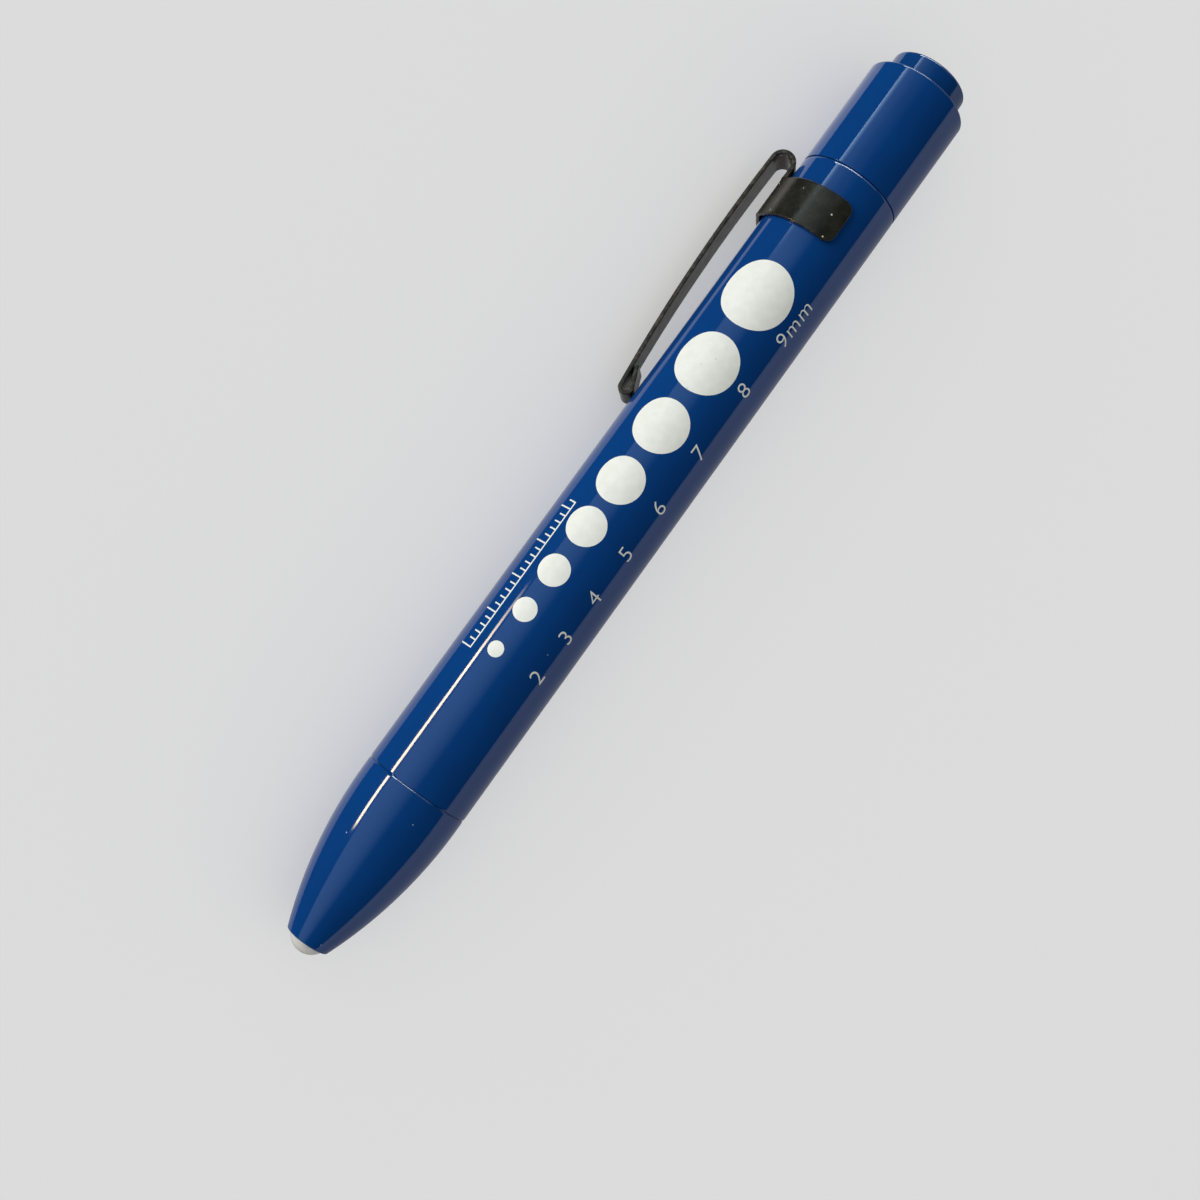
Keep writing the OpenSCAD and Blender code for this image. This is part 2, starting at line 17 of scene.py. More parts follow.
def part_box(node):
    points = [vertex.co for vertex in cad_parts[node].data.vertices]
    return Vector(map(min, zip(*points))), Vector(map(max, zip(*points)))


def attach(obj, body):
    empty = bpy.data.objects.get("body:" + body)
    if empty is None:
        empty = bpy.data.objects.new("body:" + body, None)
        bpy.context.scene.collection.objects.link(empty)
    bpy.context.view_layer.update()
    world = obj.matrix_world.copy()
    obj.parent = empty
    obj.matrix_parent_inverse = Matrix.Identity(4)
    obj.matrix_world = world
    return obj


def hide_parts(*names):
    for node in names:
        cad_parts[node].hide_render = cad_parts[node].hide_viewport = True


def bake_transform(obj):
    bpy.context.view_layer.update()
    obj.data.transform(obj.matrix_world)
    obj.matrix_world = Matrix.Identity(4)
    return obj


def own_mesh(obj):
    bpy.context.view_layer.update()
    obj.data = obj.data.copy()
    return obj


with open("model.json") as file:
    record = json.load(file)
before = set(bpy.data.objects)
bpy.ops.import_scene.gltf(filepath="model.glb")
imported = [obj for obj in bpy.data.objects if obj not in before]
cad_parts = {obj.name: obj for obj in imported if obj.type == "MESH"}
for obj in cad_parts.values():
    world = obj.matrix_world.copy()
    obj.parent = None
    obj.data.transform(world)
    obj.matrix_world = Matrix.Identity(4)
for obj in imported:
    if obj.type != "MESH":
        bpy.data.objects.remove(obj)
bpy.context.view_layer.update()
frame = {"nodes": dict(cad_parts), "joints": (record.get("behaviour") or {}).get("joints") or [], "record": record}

LOG = logging.getLogger("penlight")

MM = 0.001
TURN_STEPS = 144
EDGE_STEPS = 8
WELD_MM = 1e-4
SUPPORT_MM = 0.04
BEVEL = {"profile": 0.5, "material": -1}

Rgb = tuple[float, float, float]
Item = bpy.types.Object
Node = bpy.types.Node
Socket = bpy.types.NodeSocket
Tone = tuple[Socket, Socket]
Line = tuple[list[BMVert], list[BMEdge]]


@dataclass(frozen=True)
class PenFrame:
    """Pen axes in the row frame: Z from the nose rim to the tail, X towards the clip, in millimetres."""

    to_row: Matrix

    @classmethod
    def from_solids(cls) -> "PenFrame":
        """Finds the pen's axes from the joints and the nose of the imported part.

        Returns:
            The frame whose origin is the centre of the nose rim.
        """
        joints = {joint["name"]: joint for joint in frame["joints"]}
        along = Vector(joints["tail_cap_turn"]["axis"]).normalized()
        across = -Vector(joints["clip_flex"]["axis"]).normalized()
        origin = Vector(joints["tail_cap_turn"]["pos_m"])
        origin.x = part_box("nose_cone")[0].x
        axes = Matrix((across.cross(along), across, along)).transposed().to_4x4()
        return cls(Matrix.Translation(origin) @ axes @ Matrix.Scale(MM, 4))

    def span(self, node: str) -> tuple[float, float]:
        """Where a solid starts and ends along the pen.

        Args:
            node: Name of the CAD node.

        Returns:
            The lower and the higher place, in millimetres from the nose rim.
        """
        low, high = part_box(node)
        start = self.to_row.translation.x
        return (low.x - start) / MM, (high.x - start) / MM

    def radius(self, node: str) -> float:
        """Largest radius of a turned solid, in millimetres."""
        low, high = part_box(node)
        return (high.z - low.z) / 2 / MM

    def point(self, x: float, y: float, z: float) -> Vector:
        """A point in pen axes, given in the row frame."""
        return self.to_row @ Vector((x, y, z))

    def direction(self, turn_deg: float) -> Vector:
        """The direction square to the pen that lies that far round from the clip, in pen axes."""
        turn = math.radians(turn_deg)
        return Vector((math.cos(turn), math.sin(turn), 0))


class Grain(Enum):
    """How fine grain runs on a surface; the value stretches it along the pen and across it."""

    EVEN = (1.0, 1.0, 1.0)
    DRAWN = (0.08, 1.0, 1.0)
    TURNED = (1.0, 0.08, 0.08)


class ShaderGraph:
    """Adds and joins the nodes of one shader node tree."""

    def __init__(self, tree: bpy.types.NodeTree) -> None:
        """Works on that tree."""
        self.tree = tree

    def add(self, kind: str, values: dict[str, object] | None = None, **settings: object) -> Node:
        """Adds a node.

        Args:
            kind: Type name of the node.
            values: Input names and the values that they get.
            settings: Properties of the node.

        Returns:
            The new node.
        """
        node = self.tree.nodes.new(kind)
        for key, value in settings.items():
            setattr(node, key, value)
        self.fill(node, values or {})
        return node

    @staticmethod
    def fill(node: Node, values: dict[str, object]) -> None:
        """Sets inputs of a node by their names."""
        for key, value in values.items():
            node.inputs[key].default_value = value

    def join(self, source: Socket, *targets: Socket) -> None:
        """Links one output to each of the inputs."""
        for target in targets:
            self.tree.links.new(source, target)

    def pass_on(self, source: Node, target: Node, *labels: str) -> None:
        """Links each named output of a node to the input of another that has the same name."""
        for label in labels:
            self.join(source.outputs[label], target.inputs[label])

    def scaled(self, place: Socket, scale: Sequence[float]) -> Socket:
        """Scales a place along each axis.

        Args:
            place: The place.
            scale: What each axis is multiplied by.

        Returns:
            The socket that holds the scaled place.
        """
        node = self.add("ShaderNodeMapping", {"Scale": scale})
        self.join(place, node.inputs["Vector"])
        return node.outputs["Vector"]

    def group(self, tree: bpy.types.NodeTree, place: Socket, values: dict[str, object]) -> Node:
        """Places a shared group with its own values.

        Args:
            tree: The group.
            place: The place that it reads.
            values: Its other inputs and the values that they get.

        Returns:
            The new node.
        """
        node = self.add("ShaderNodeGroup", values, node_tree=tree)
        self.join(place, node.inputs["Vector"])
        return node

    def math(self, operation: str, first: object, second: object) -> Socket:
        """Combines two values.

        Args:
            operation: Name of the operation.
            first: A socket or a number.
            second: A socket or a number.

        Returns:
            The socket that holds the result.
        """
        node = self.add("ShaderNodeMath", operation=operation)
        for target, value in zip(node.inputs, (first, second)):
            if isinstance(value, Socket):
                self.join(value, target)
            else:
                target.default_value = value
        return node.outputs[0]

    def ramp(self, value: Socket, low: float, high: float, start: float, end: float) -> Socket:
        """Maps a value from one range to another, held at both ends.

        Args:
            value: The value to map.
            low: Lower end of its range.
            high: Upper end of its range.
            start: What the lower end becomes.
            end: What the upper end becomes.

        Returns:
            The socket that holds the result.
        """
        sizes = {"From Min": low, "From Max": high, "To Min": start, "To Max": end}
        node = self.add("ShaderNodeMapRange", sizes)
        self.join(value, node.inputs["Value"])
        return node.outputs["Result"]

    def mix(self, share: Socket, first: object, second: object) -> Socket:
        """Mixes two colours.

        Args:
            share: How much of the second colour shows.
            first: A socket or a colour.
            second: A socket or a colour.

        Returns:
            The socket that holds the mixed colour.
        """
        node = self.add("ShaderNodeMix", data_type="RGBA")
        self.join(share, node.inputs["Factor"])
        for target, value in ((node.inputs[6], first), (node.inputs[7], second)):
            if isinstance(value, Socket):
                self.join(value, target)
            else:
                target.default_value = (*value, 1)
        return node.outputs[2]


class SurfaceGroups:
    """Shader node groups that the finishes share, each built once."""

    BROAD_SCALE = 0.13
    BROAD_DETAIL = 2.0
    CLOUD_RANGE = (0.35, 0.65)
    PATCH_DETAIL = 5.0
    PATCH_RANGE = (0.3, 0.7)
    PATCH_SWING = (-0.45, 0.45)
    # Edge level over which the lighter edges come in: partly rubbed through, partly a painted highlight.
    WORN_AND_GLINT_RANGE = (0.9, 1.5)

    @staticmethod
    def start(name: str, values: Iterable[str], outputs: Iterable[str]) -> tuple[ShaderGraph, Node, Node]:
        """Starts a group that reads a place and some values.

        Args:
            name: Name of the group.
            values: Names of its value inputs, which follow the input Vector.
            outputs: Names of its value outputs.

        Returns:
            The group's graph, its input node and its output node.
        """
        tree = bpy.data.node_groups.new(name, "ShaderNodeTree")
        tree.interface.new_socket(name="Vector", in_out="INPUT", socket_type="NodeSocketVector")
        for side, labels in (("INPUT", values), ("OUTPUT", outputs)):
            for label in labels:
                tree.interface.new_socket(name=label, in_out=side, socket_type="NodeSocketFloat")
        graph = ShaderGraph(tree)
        return graph, graph.add("NodeGroupInput"), graph.add("NodeGroupOutput")

    @classmethod
    @cache
    def grain(cls) -> bpy.types.NodeTree:
        """Fine relief and broad cloudiness of a surface.

        Returns:
            A group with the outputs Height and Cloud.
        """
        graph, source, result = cls.start("surface grain", ("Scale", "Detail"), ("Height", "Cloud"))
        fine = graph.add("ShaderNodeTexNoise")
        broad = graph.add("ShaderNodeTexNoise", {"Detail": cls.BROAD_DETAIL})
        graph.pass_on(source, fine, "Vector", "Scale", "Detail")
        graph.pass_on(source, broad, "Vector")
        graph.join(graph.math("MULTIPLY", source.outputs["Scale"], cls.BROAD_SCALE), broad.inputs["Scale"])
        graph.join(fine.outputs[0], result.inputs["Height"])
        graph.join(graph.ramp(broad.outputs[0], *cls.CLOUD_RANGE, 0, 1), result.inputs["Cloud"])
        return graph.tree

    @classmethod
    @cache
    def specks(cls) -> bpy.types.NodeTree:
        """Sparse round specks, such as dust and pinholes.

        Returns:
            A group with the output Mask.
        """
        graph, source, result = cls.start("sparse specks", ("Scale", "Size", "Share"), ("Mask",))
        cells = graph.add("ShaderNodeTexVoronoi")
        graph.pass_on(source, cells, "Vector", "Scale")
        pick = graph.add("ShaderNodeSeparateColor")
        graph.join(cells.outputs["Color"], pick.inputs[0])
        chosen = graph.math("LESS_THAN", pick.outputs[0], source.outputs["Share"])
        near = graph.math("LESS_THAN", cells.outputs["Distance"], source.outputs["Size"])
        graph.join(graph.math("MULTIPLY", chosen, near), result.inputs["Mask"])
        return graph.tree

    @classmethod
    @cache
    def wear_and_glint(cls) -> bpy.types.NodeTree:
        """Ragged lighter edges of a piece: partly rubbed through, partly a painted edge highlight.

        Returns:
            A group with the output Mask.
        """
        graph, source, result = cls.start("edge wear", ("Edge", "Scale"), ("Mask",))
        patches = graph.add("ShaderNodeTexNoise", {"Detail": cls.PATCH_DETAIL})
        graph.pass_on(source, patches, "Vector", "Scale")
        swing = graph.ramp(patches.outputs[0], *cls.PATCH_RANGE, *cls.PATCH_SWING)
        level = graph.math("ADD", source.outputs["Edge"], swing)
        graph.join(graph.ramp(level, *cls.WORN_AND_GLINT_RANGE, 0, 1), result.inputs["Mask"])
        return graph.tree


@dataclass(frozen=True)
class Finish:
    """A surface finish with fine grain, cloudy tone and sparse specks; lengths are millimetres.

    Colours are linear. The grain gives the relief, and its broad clouds mix base and vary and
    swing the roughness between its two values.
    """

    name: str
    base: Rgb
    vary: Rgb
    roughness: tuple[float, float]
    grain: Grain = Grain.EVEN
    grain_mm: float = 0.4
    grain_detail: float = 2.0
    relief_mm: float = 0.001
    metallic: float = 0.0
    shine: float = 0.5
    sheen_tint: Rgb = (1.0, 1.0, 1.0)
    speck: Rgb = (0.6, 0.6, 0.58)
    speck_share: float = 0.0
    speck_mm: float = 0.12
    speck_room_mm: float = 2.5

    def material(self) -> bpy.types.Material:
        """The finish's material, which is built at the first call."""
        return bpy.data.materials.get(self.name) or self.build()

    def build(self) -> bpy.types.Material:
        """Builds the material.

        Returns:
            The new material.
        """
        material = bpy.data.materials.new(self.name)
        material.use_nodes = True
        material.diffuse_color = (*self.base, 1)
        graph = ShaderGraph(material.node_tree)
        shader = material.node_tree.nodes["Principled BSDF"]
        tint = (*self.sheen_tint, 1)
        values = {"Metallic": self.metallic, "Specular IOR Level": self.shine, "Specular Tint": tint}
        graph.fill(shader, values)
        place = graph.add("ShaderNodeTexCoord").outputs["Object"]
        run = graph.scaled(place, [share / MM for share in self.grain.value])
        sizes = {"Scale": 1 / self.grain_mm, "Detail": self.grain_detail}
        grain = graph.group(SurfaceGroups.grain(), run, sizes)
        colour = graph.mix(grain.outputs["Cloud"], self.base, self.vary)
        rough = graph.ramp(grain.outputs["Cloud"], 0, 1, *self.roughness)
        colour, rough = self.dress(graph, graph.scaled(place, (1 / MM,) * 3), colour, rough)
        graph.join(colour, shader.inputs["Base Color"])
        graph.join(rough, shader.inputs["Roughness"])
        bump = graph.add("ShaderNodeBump", {"Distance": self.relief_mm * MM})
        graph.join(grain.outputs["Height"], bump.inputs["Height"])
        graph.join(bump.outputs["Normal"], shader.inputs["Normal"])
        return material

    def dress(self, graph: ShaderGraph, place: Socket, colour: Socket, rough: Socket) -> Tone:
        """Adds what lies on the plain surface, here the specks.

        Args:
            graph: The material's graph.
            place: Place on the piece, in millimetres.
            colour: Colour of the plain surface.
            rough: Roughness of the plain surface.

        Returns:
            The colour and the roughness with everything on them.
        """
        if not self.speck_share:
            return colour, rough
        sizes = {"Scale": 1 / self.speck_room_mm, "Size": self.speck_mm / self.speck_room_mm}
        specks = graph.group(SurfaceGroups.specks(), place, {**sizes, "Share": self.speck_share})
        return graph.mix(specks.outputs["Mask"], colour, self.speck), rough


@dataclass(frozen=True)
class WornGlintFinish(Finish):
    """A dark finish with lighter edges: partly rubbed through, partly a painted edge highlight."""

    # Colour of the lighter edges: partly rubbed-through oxide, partly a painted edge highlight.
    worn: Rgb = (0.075, 0.062, 0.044)
    worn_and_glint_roughness: float = 0.3
    patch_mm: float = 0.6

    def dress(self, graph: ShaderGraph, place: Socket, colour: Socket, rough: Socket) -> Tone:
        """Adds the specks, then the lighter, partly painted-highlight edges, from the piece's edge attribute.

        Args:
            graph: The material's graph.
            place: Place on the piece, in millimetres.
            colour: Colour of the plain surface.
            rough: Roughness of the plain surface.

        Returns:
            The colour and the roughness with everything on them.
        """
        colour, rough = super().dress(graph, place, colour, rough)
        edge = graph.add("ShaderNodeAttribute", attribute_name="edge")
        wear_and_glint = graph.group(SurfaceGroups.wear_and_glint(), place, {"Scale": 1 / self.patch_mm})
        graph.join(edge.outputs["Fac"], wear_and_glint.inputs["Edge"])
        # Mask of the lighter edges: partly rubbed through, partly a painted highlight.
        mask = wear_and_glint.outputs["Mask"]
        worn = graph.ramp(mask, 0, 1, 0, self.worn_and_glint_roughness)
        kept = graph.math("MULTIPLY", rough, graph.ramp(mask, 0, 1, 1, 0))
        return graph.mix(mask, colour, self.worn), graph.math("ADD", worn, kept)


@dataclass(frozen=True)
class CastFinish(Finish):
    """A see-through cast resin."""

    transmission: float = 1.0
    ior: float = 1.5
    milk: float = 0.0
    milk_mm: float = 2.0

    def build(self) -> bpy.types.Material:
        """Builds the material and lets light through it.

        Returns:
            The new material.
        """
        material = super().build()
        shader = material.node_tree.nodes["Principled BSDF"]
        values = {
            "Transmission Weight": self.transmission,
            "IOR": self.ior,
            "Subsurface Weight": self.milk,
            "Subsurface Radius": self.base,
            "Subsurface Scale": self.milk_mm * MM,
        }
        ShaderGraph.fill(shader, values)
        return material


BLUE_ENAMEL = Finish(
    "blue_enamel",
    base=(0.003, 0.044, 0.185),
    vary=(0.003, 0.041, 0.175),
    roughness=(0.05, 0.07),
    grain_mm=0.9,
    grain_detail=1.0,
    relief_mm=0.0002,
    speck=(0.35, 0.42, 0.55),
    speck_share=0.9,
    speck_mm=0.11,
    speck_room_mm=4.0,
)
BUTTON_ENAMEL = Finish(
    "button_enamel",
    base=(0.003, 0.042, 0.17),
    vary=(0.003, 0.038, 0.155),
    roughness=(0.06, 0.1),
    grain_mm=0.7,
    grain_detail=1.0,
    relief_mm=0.0012,
)
# Its lighter edges are partly rubbed through and partly a painted edge highlight.
BLACK_OXIDE = WornGlintFinish(
    "black_oxide",
    base=(0.013, 0.014, 0.011),
    vary=(0.021, 0.021, 0.016),
    roughness=(0.2, 0.3),
    grain_mm=0.16,
    grain_detail=4.0,
    relief_mm=0.0015,
    sheen_tint=(1.0, 0.86, 0.7),
    speck=(0.55, 0.54, 0.5),
    speck_share=1.0,
    speck_mm=0.13,
    speck_room_mm=2.0,
)
PRINT_INK = Finish(
    "white_ink",
    base=(0.78, 0.8, 0.74),
    vary=(0.73, 0.755, 0.69),
    roughness=(0.32, 0.42),
    grain_mm=0.14,
    grain_detail=3.0,
    relief_mm=0.003,
    speck=(0.62, 0.64, 0.57),
    speck_share=0.25,
    speck_mm=0.12,
    speck_room_mm=1.6,
)
LAMP_RESIN = CastFinish(
    "lamp_resin",
    base=(0.98, 0.955, 0.86),
    vary=(0.93, 0.905, 0.8),
    roughness=(0.14, 0.24),
    grain_mm=0.5,
    relief_mm=0.002,
    transmission=0.3,
    milk=0.8,
)
SLOT_FINISHES = {
    "lamp_phosphor": Finish(
        "yellow_phosphor", (0.82, 0.62, 0.06), (0.75, 0.52, 0.04), (0.6, 0.8), grain_mm=0.05
    ),
    "tinned_steel": Finish(
        "tinned_lead", (0.62, 0.62, 0.63), (0.5, 0.5, 0.51), (0.22, 0.34), Grain.DRAWN, 0.1, metallic=1.0
    ),
    "white_moulding": Finish(
        "white_nylon", (0.74, 0.74, 0.69), (0.68, 0.68, 0.62), (0.42, 0.55), grain_mm=0.15, relief_mm=0.003
    ),
    "board_green": Finish(
        "green_lacquer", (0.005, 0.07, 0.02), (0.008, 0.1, 0.03), (0.25, 0.4), grain_mm=0.2
    ),
    "resistor_black": Finish(
        "resistor_film", (0.01, 0.01, 0.011), (0.02, 0.02, 0.02), (0.4, 0.55), grain_mm=0.1
    ),
    "contact_brass": Finish(
        "turned_brass", (0.6, 0.36, 0.09), (0.5, 0.28, 0.07), (0.2, 0.35), Grain.TURNED, 0.08, metallic=1.0
    ),
    "spring_steel": Finish(
        "drawn_wire", (0.5, 0.5, 0.52), (0.42, 0.42, 0.43), (0.22, 0.36), Grain.DRAWN, 0.06, metallic=1.0
    ),
    "cell_steel": Finish(
        "nickel_plate", (0.6, 0.59, 0.56), (0.52, 0.51, 0.48), (0.16, 0.28), Grain.DRAWN, 0.12, metallic=1.0
    ),
    "cell_mix": Finish(
        "pressed_mix", (0.018, 0.018, 0.02), (0.035, 0.035, 0.035), (0.7, 0.9), grain_mm=0.12
    ),
    "cell_sleeve": Finish(
        "shrink_sleeve", (0.02, 0.022, 0.025), (0.03, 0.032, 0.035), (0.2, 0.32), grain_mm=0.5
    ),
}


def draw_line(bm: BMesh, points: Iterable[Sequence[float]], closed: bool) -> Line:
    """Draws a line of vertices and edges.

    Args:
        bm: The mesh that gets it.
        points: Its points in order.
        closed: Whether the last point joins the first.

    Returns:
        The vertices and the edges.
    """
    verts = [bm.verts.new(point) for point in points]
    ends = verts[1:] + verts[:1] if closed else verts[1:]
    return verts, [bm.edges.new(pair) for pair in zip(verts, ends)]


def spin_round(
    bm: BMesh, geom: list, turn: float, steps: int, rise: float = 0.0, merge: bool = False
) -> None:
    """Spins vertices and edges, or faces, round the pen's axis.

    Args:
        bm: The mesh.
        geom: What is spun.
        turn: How far, in radians.
        steps: In how many steps.
        rise: How far each step goes along the axis.
        merge: Whether the last step meets the first.
    """
    axis = {"cent": (0, 0, 0), "axis": (0, 0, 1), "dvec": (0, 0, rise)}
    bmesh.ops.spin(bm, geom=geom, angle=turn, steps=steps, use_merge=merge, **axis)


def thicken(bm: BMesh, height: float) -> None:
    """Raises the flat faces of a mesh into slabs.

    Args:
        bm: The mesh, flat and at no height.
        height: Thickness of the slabs.
    """
    raised = bmesh.ops.extrude_face_region(bm, geom=bm.faces[:])["geom"]
    lifted = [item for item in raised if isinstance(item, BMVert)]
    bmesh.ops.translate(bm, verts=lifted, vec=(0, 0, height))


def put_in_scene(name: str, data: bpy.types.ID) -> Item:
    """Adds an object to the scene.

    Args:
        name: Its name.
        data: Its mesh, curve, camera or light.

    Returns:
        The object.
    """
    item = bpy.data.objects.new(name, data)
    bpy.context.scene.collection.objects.link(item)
    return item


class Outline:
    """Half section of a turned piece: points (radius, place along the pen) joined in order."""

    def __init__(self, radius: float, place: float) -> None:
        """Starts at a point."""
        self.points: list[tuple[float, float]] = [(radius, place)]

    def line(self, radius: float, place: float) -> "Outline":
        """Goes straight to a point, with a support point close to each end of a long stretch.

        Args:
            radius: Radius of the point.
            place: Its place along the pen.

        Returns:
            The outline itself.
        """
        start, end = Vector(self.points[-1]), Vector((radius, place))
        run = end - start
        if run.length > 4 * SUPPORT_MM:
            step = run.normalized() * SUPPORT_MM
            self.points += [tuple(start + step), tuple(end - step)]
        self.points.append((radius, place))
        return self

    def arc(
        self, centre: tuple[float, float], start: float, end: float, steps: int = EDGE_STEPS
    ) -> "Outline":
        """Goes round a centre from the last point, which lies on the arc.

        Args:
            centre: Radius and place of the arc's centre.
            start: Direction from the centre to the last point, in degrees.
            end: Direction from the centre to the arc's end, in degrees.
            steps: How many chords make the arc.

        Returns:
            The outline itself.
        """
        size = (Vector(self.points[-1]) - Vector(centre)).length
        for step in range(1, steps + 1):
            turn = math.radians(start + (end - start) * step / steps)
            self.points.append((centre[0] + size * math.cos(turn), centre[1] + size * math.sin(turn)))
        return self

    def turned(self, closed: bool) -> BMesh:
        """Turns the outline once round the pen's axis.

        Args:
            closed: Whether the last point joins the first, as in a tube.

        Returns:
            The turned mesh, in pen axes.
        """
        bm = bmesh.new()
        verts, edges = draw_line(bm, [(radius, 0, place) for radius, place in self.points], closed)
        spin_round(bm, verts + edges, math.tau, TURN_STEPS, merge=True)
        bmesh.ops.remove_doubles(bm, verts=bm.verts, dist=WELD_MM)
        return bm


def face_outward(bm: BMesh) -> None:
    """Turns the faces of each closed shell of a mesh outward.

    Args:
        bm: The mesh, of one shell or more.
    """
    bmesh.ops.recalc_face_normals(bm, faces=bm.faces)
    left = set(bm.faces)
    while left:
        front, shell, volume = [left.pop()], [], 0.0
        while front:
            face = front.pop()
            shell.append(face)
            first, *rest = (vert.co for vert in face.verts)
            volume += sum(first.dot(second.cross(third)) for second, third in zip(rest, rest[1:]))
            near = {other for edge in face.edges for other in edge.link_faces} & left
            left -= near
            front += near
        if volume < 0:
            bmesh.ops.reverse_faces(bm, faces=shell)


def add_piece(name: str, bm: BMesh, pen: PenFrame, finish: Finish, sharp_deg: float = 50.0) -> Item:
    """Makes an object of a finished mesh.

    Args:
        name: Name of the piece.
        bm: Its closed mesh in pen axes, which is freed.
        pen: The pen's axes.
        finish: Its surface finish.
        sharp_deg: Edges that turn further than this stay sharp.

    Returns:
        The new object, with its place in its mesh.
    """
    face_outward(bm)
    bm.transform(pen.to_row)
    mesh = bpy.data.meshes.new(name)
    bm.to_mesh(mesh)
    bm.free()
    mesh.shade_smooth()
    mesh.set_sharp_from_angle(angle=math.radians(sharp_deg))
    mesh.materials.append(finish.material())
    LOG.info("%s: %d faces", name, len(mesh.polygons))
    return put_in_scene(name, mesh)


def cut_across(bm: BMesh, axis: int, places: Iterable[float]) -> None:
    """Cuts a mesh at places along one of its axes, so that it can be bent there.

    Args:
        bm: The mesh.
        axis: Index of the axis.
        places: Where the cuts go.
    """
    normal = Vector((0, 0, 0))
    normal[axis] = 1
    for place in places:
        geometry = bm.verts[:] + bm.edges[:] + bm.faces[:]
        bmesh.ops.bisect_plane(bm, geom=geometry, dist=WELD_MM, plane_co=normal * place, plane_no=normal)


def even_steps(start: float, end: float, step: float) -> list[float]:
    """Places from start to end, both included, at most step apart."""
    count = max(1, math.ceil((end - start) / step))
    return [start + (end - start) * index / count for index in range(count + 1)]


def share_between(value: float, low: float, high: float) -> float:
    """How far a value has got from low to high, held between 0 and 1."""
    return min(max((value - low) / (high - low), 0.0), 1.0)


@dataclass
class NoseAssembly:
    """Ogive nose with the lamp in its rim; sizes are millimetres."""

    pen: PenFrame
    rim_r: float = 2.85
    hole_r: float = 2.6
    rim_round: float = 0.25
    rim_ahead: float = 0.12
    lip: float = 1.4
    seam_gap: float = 0.05
    seam_round: float = 0.6
    seam_turn: float = 42.0
    sleeve_r: float = 6.15
    bore_r: float = 5.6
    run_gap: float = 0.1
    seat_gap: float = 0.05
    lens_r: float = 2.5
    dome_sunk: float = 0.15
    flange_r: float = 2.9
    flange_height: float = 1.0
    holder_r: float = 4.25
    holder_boss: float = 0.5
    holder_length: float = 4.2
    ring_room: float = 0.4
    rim_steps: int = 6
    ogive_steps: int = 40
    dome_steps: int = 24

    def bore_steps(self) -> list[tuple[float, float]]:
        """Works out the stepped bore that holds the lamp, its holder and the board.

        Returns:
            Place and radius of each step, from the inner end of the bore to the rim.
        """
        base = self.pen.span("lamp_lens")[1]
        holder = base + self.holder_boss
        return [
            (self.pen.span("lamp_ring")[1] + self.ring_room, self.bore_r),
            (holder + self.holder_length, self.pen.radius("contact_board") + self.seat_gap),
            (holder - self.seat_gap, self.holder_r + self.seat_gap),
            (base - self.flange_height - self.seat_gap, self.flange_r + self.run_gap),
        ]

    def shell(self) -> Item:
        """Builds the nose shell with its stepped bore and its sleeve.

        Returns:
            The nose.
        """
        body_r = self.pen.radius("barrel")
        length = self.pen.span("barrel")[0] - self.seam_gap
        sleeve_end = self.pen.span("nose_cone")[1]
        arc_end = length - self.lip
        drop = body_r - self.rim_r
        arc_r = (arc_end**2 + drop**2) / (2 * drop)
        edge = self.rim_round - self.rim_ahead
        first = math.asin((edge - arc_end) / (arc_r - self.rim_round))
        middle = (body_r - arc_r + (arc_r - self.rim_round) * math.cos(first), edge)
        start = -math.acos((self.hole_r - middle[0]) / self.rim_round)
        outline = Outline(self.hole_r, edge + self.rim_round * math.sin(start))
        outline.arc(middle, math.degrees(start), math.degrees(first), self.rim_steps)
        outline.arc((body_r - arc_r, arc_end), math.degrees(first), 0, self.ogive_steps)
        seam = length - self.seam_round * math.sin(math.radians(self.seam_turn))
        outline.line(body_r, seam).arc((body_r - self.seam_round, seam), 0, self.seam_turn)
        outline.line(self.sleeve_r, length).line(self.sleeve_r, sleeve_end).line(self.bore_r, sleeve_end)
        steps = self.bore_steps()
        for (place, radius), (_, inner) in zip(steps, [*steps[1:], (0.0, self.hole_r)]):
            outline.line(radius, place).line(inner, place)
        nose = add_piece("nose_shell", outline.turned(closed=True), self.pen, BLUE_ENAMEL)
        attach(nose, "barrel")
        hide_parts("nose_cone")
        return nose

    def lens(self) -> Item:
        """Builds the domed lamp lens with its base flange.

        Returns:
            The lens.
        """
        tip, base = self.pen.span("lamp_lens")
        tip += self.dome_sunk
        shoulder = tip + self.lens_r
        flange = base - self.flange_height
        outline = Outline(0, tip)
        outline.arc((0, shoulder), -90, 0, self.dome_steps).line(self.lens_r, flange)
        outline.line(self.flange_r, flange).line(self.flange_r, base).line(0, base)
        lens = add_piece("lamp_dome", outline.turned(closed=False), self.pen, LAMP_RESIN)
        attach(lens, "barrel")
        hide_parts("lamp_lens")
        return lens

    def build(self) -> None:
        """Builds both pieces."""
        self.shell()
        self.lens()


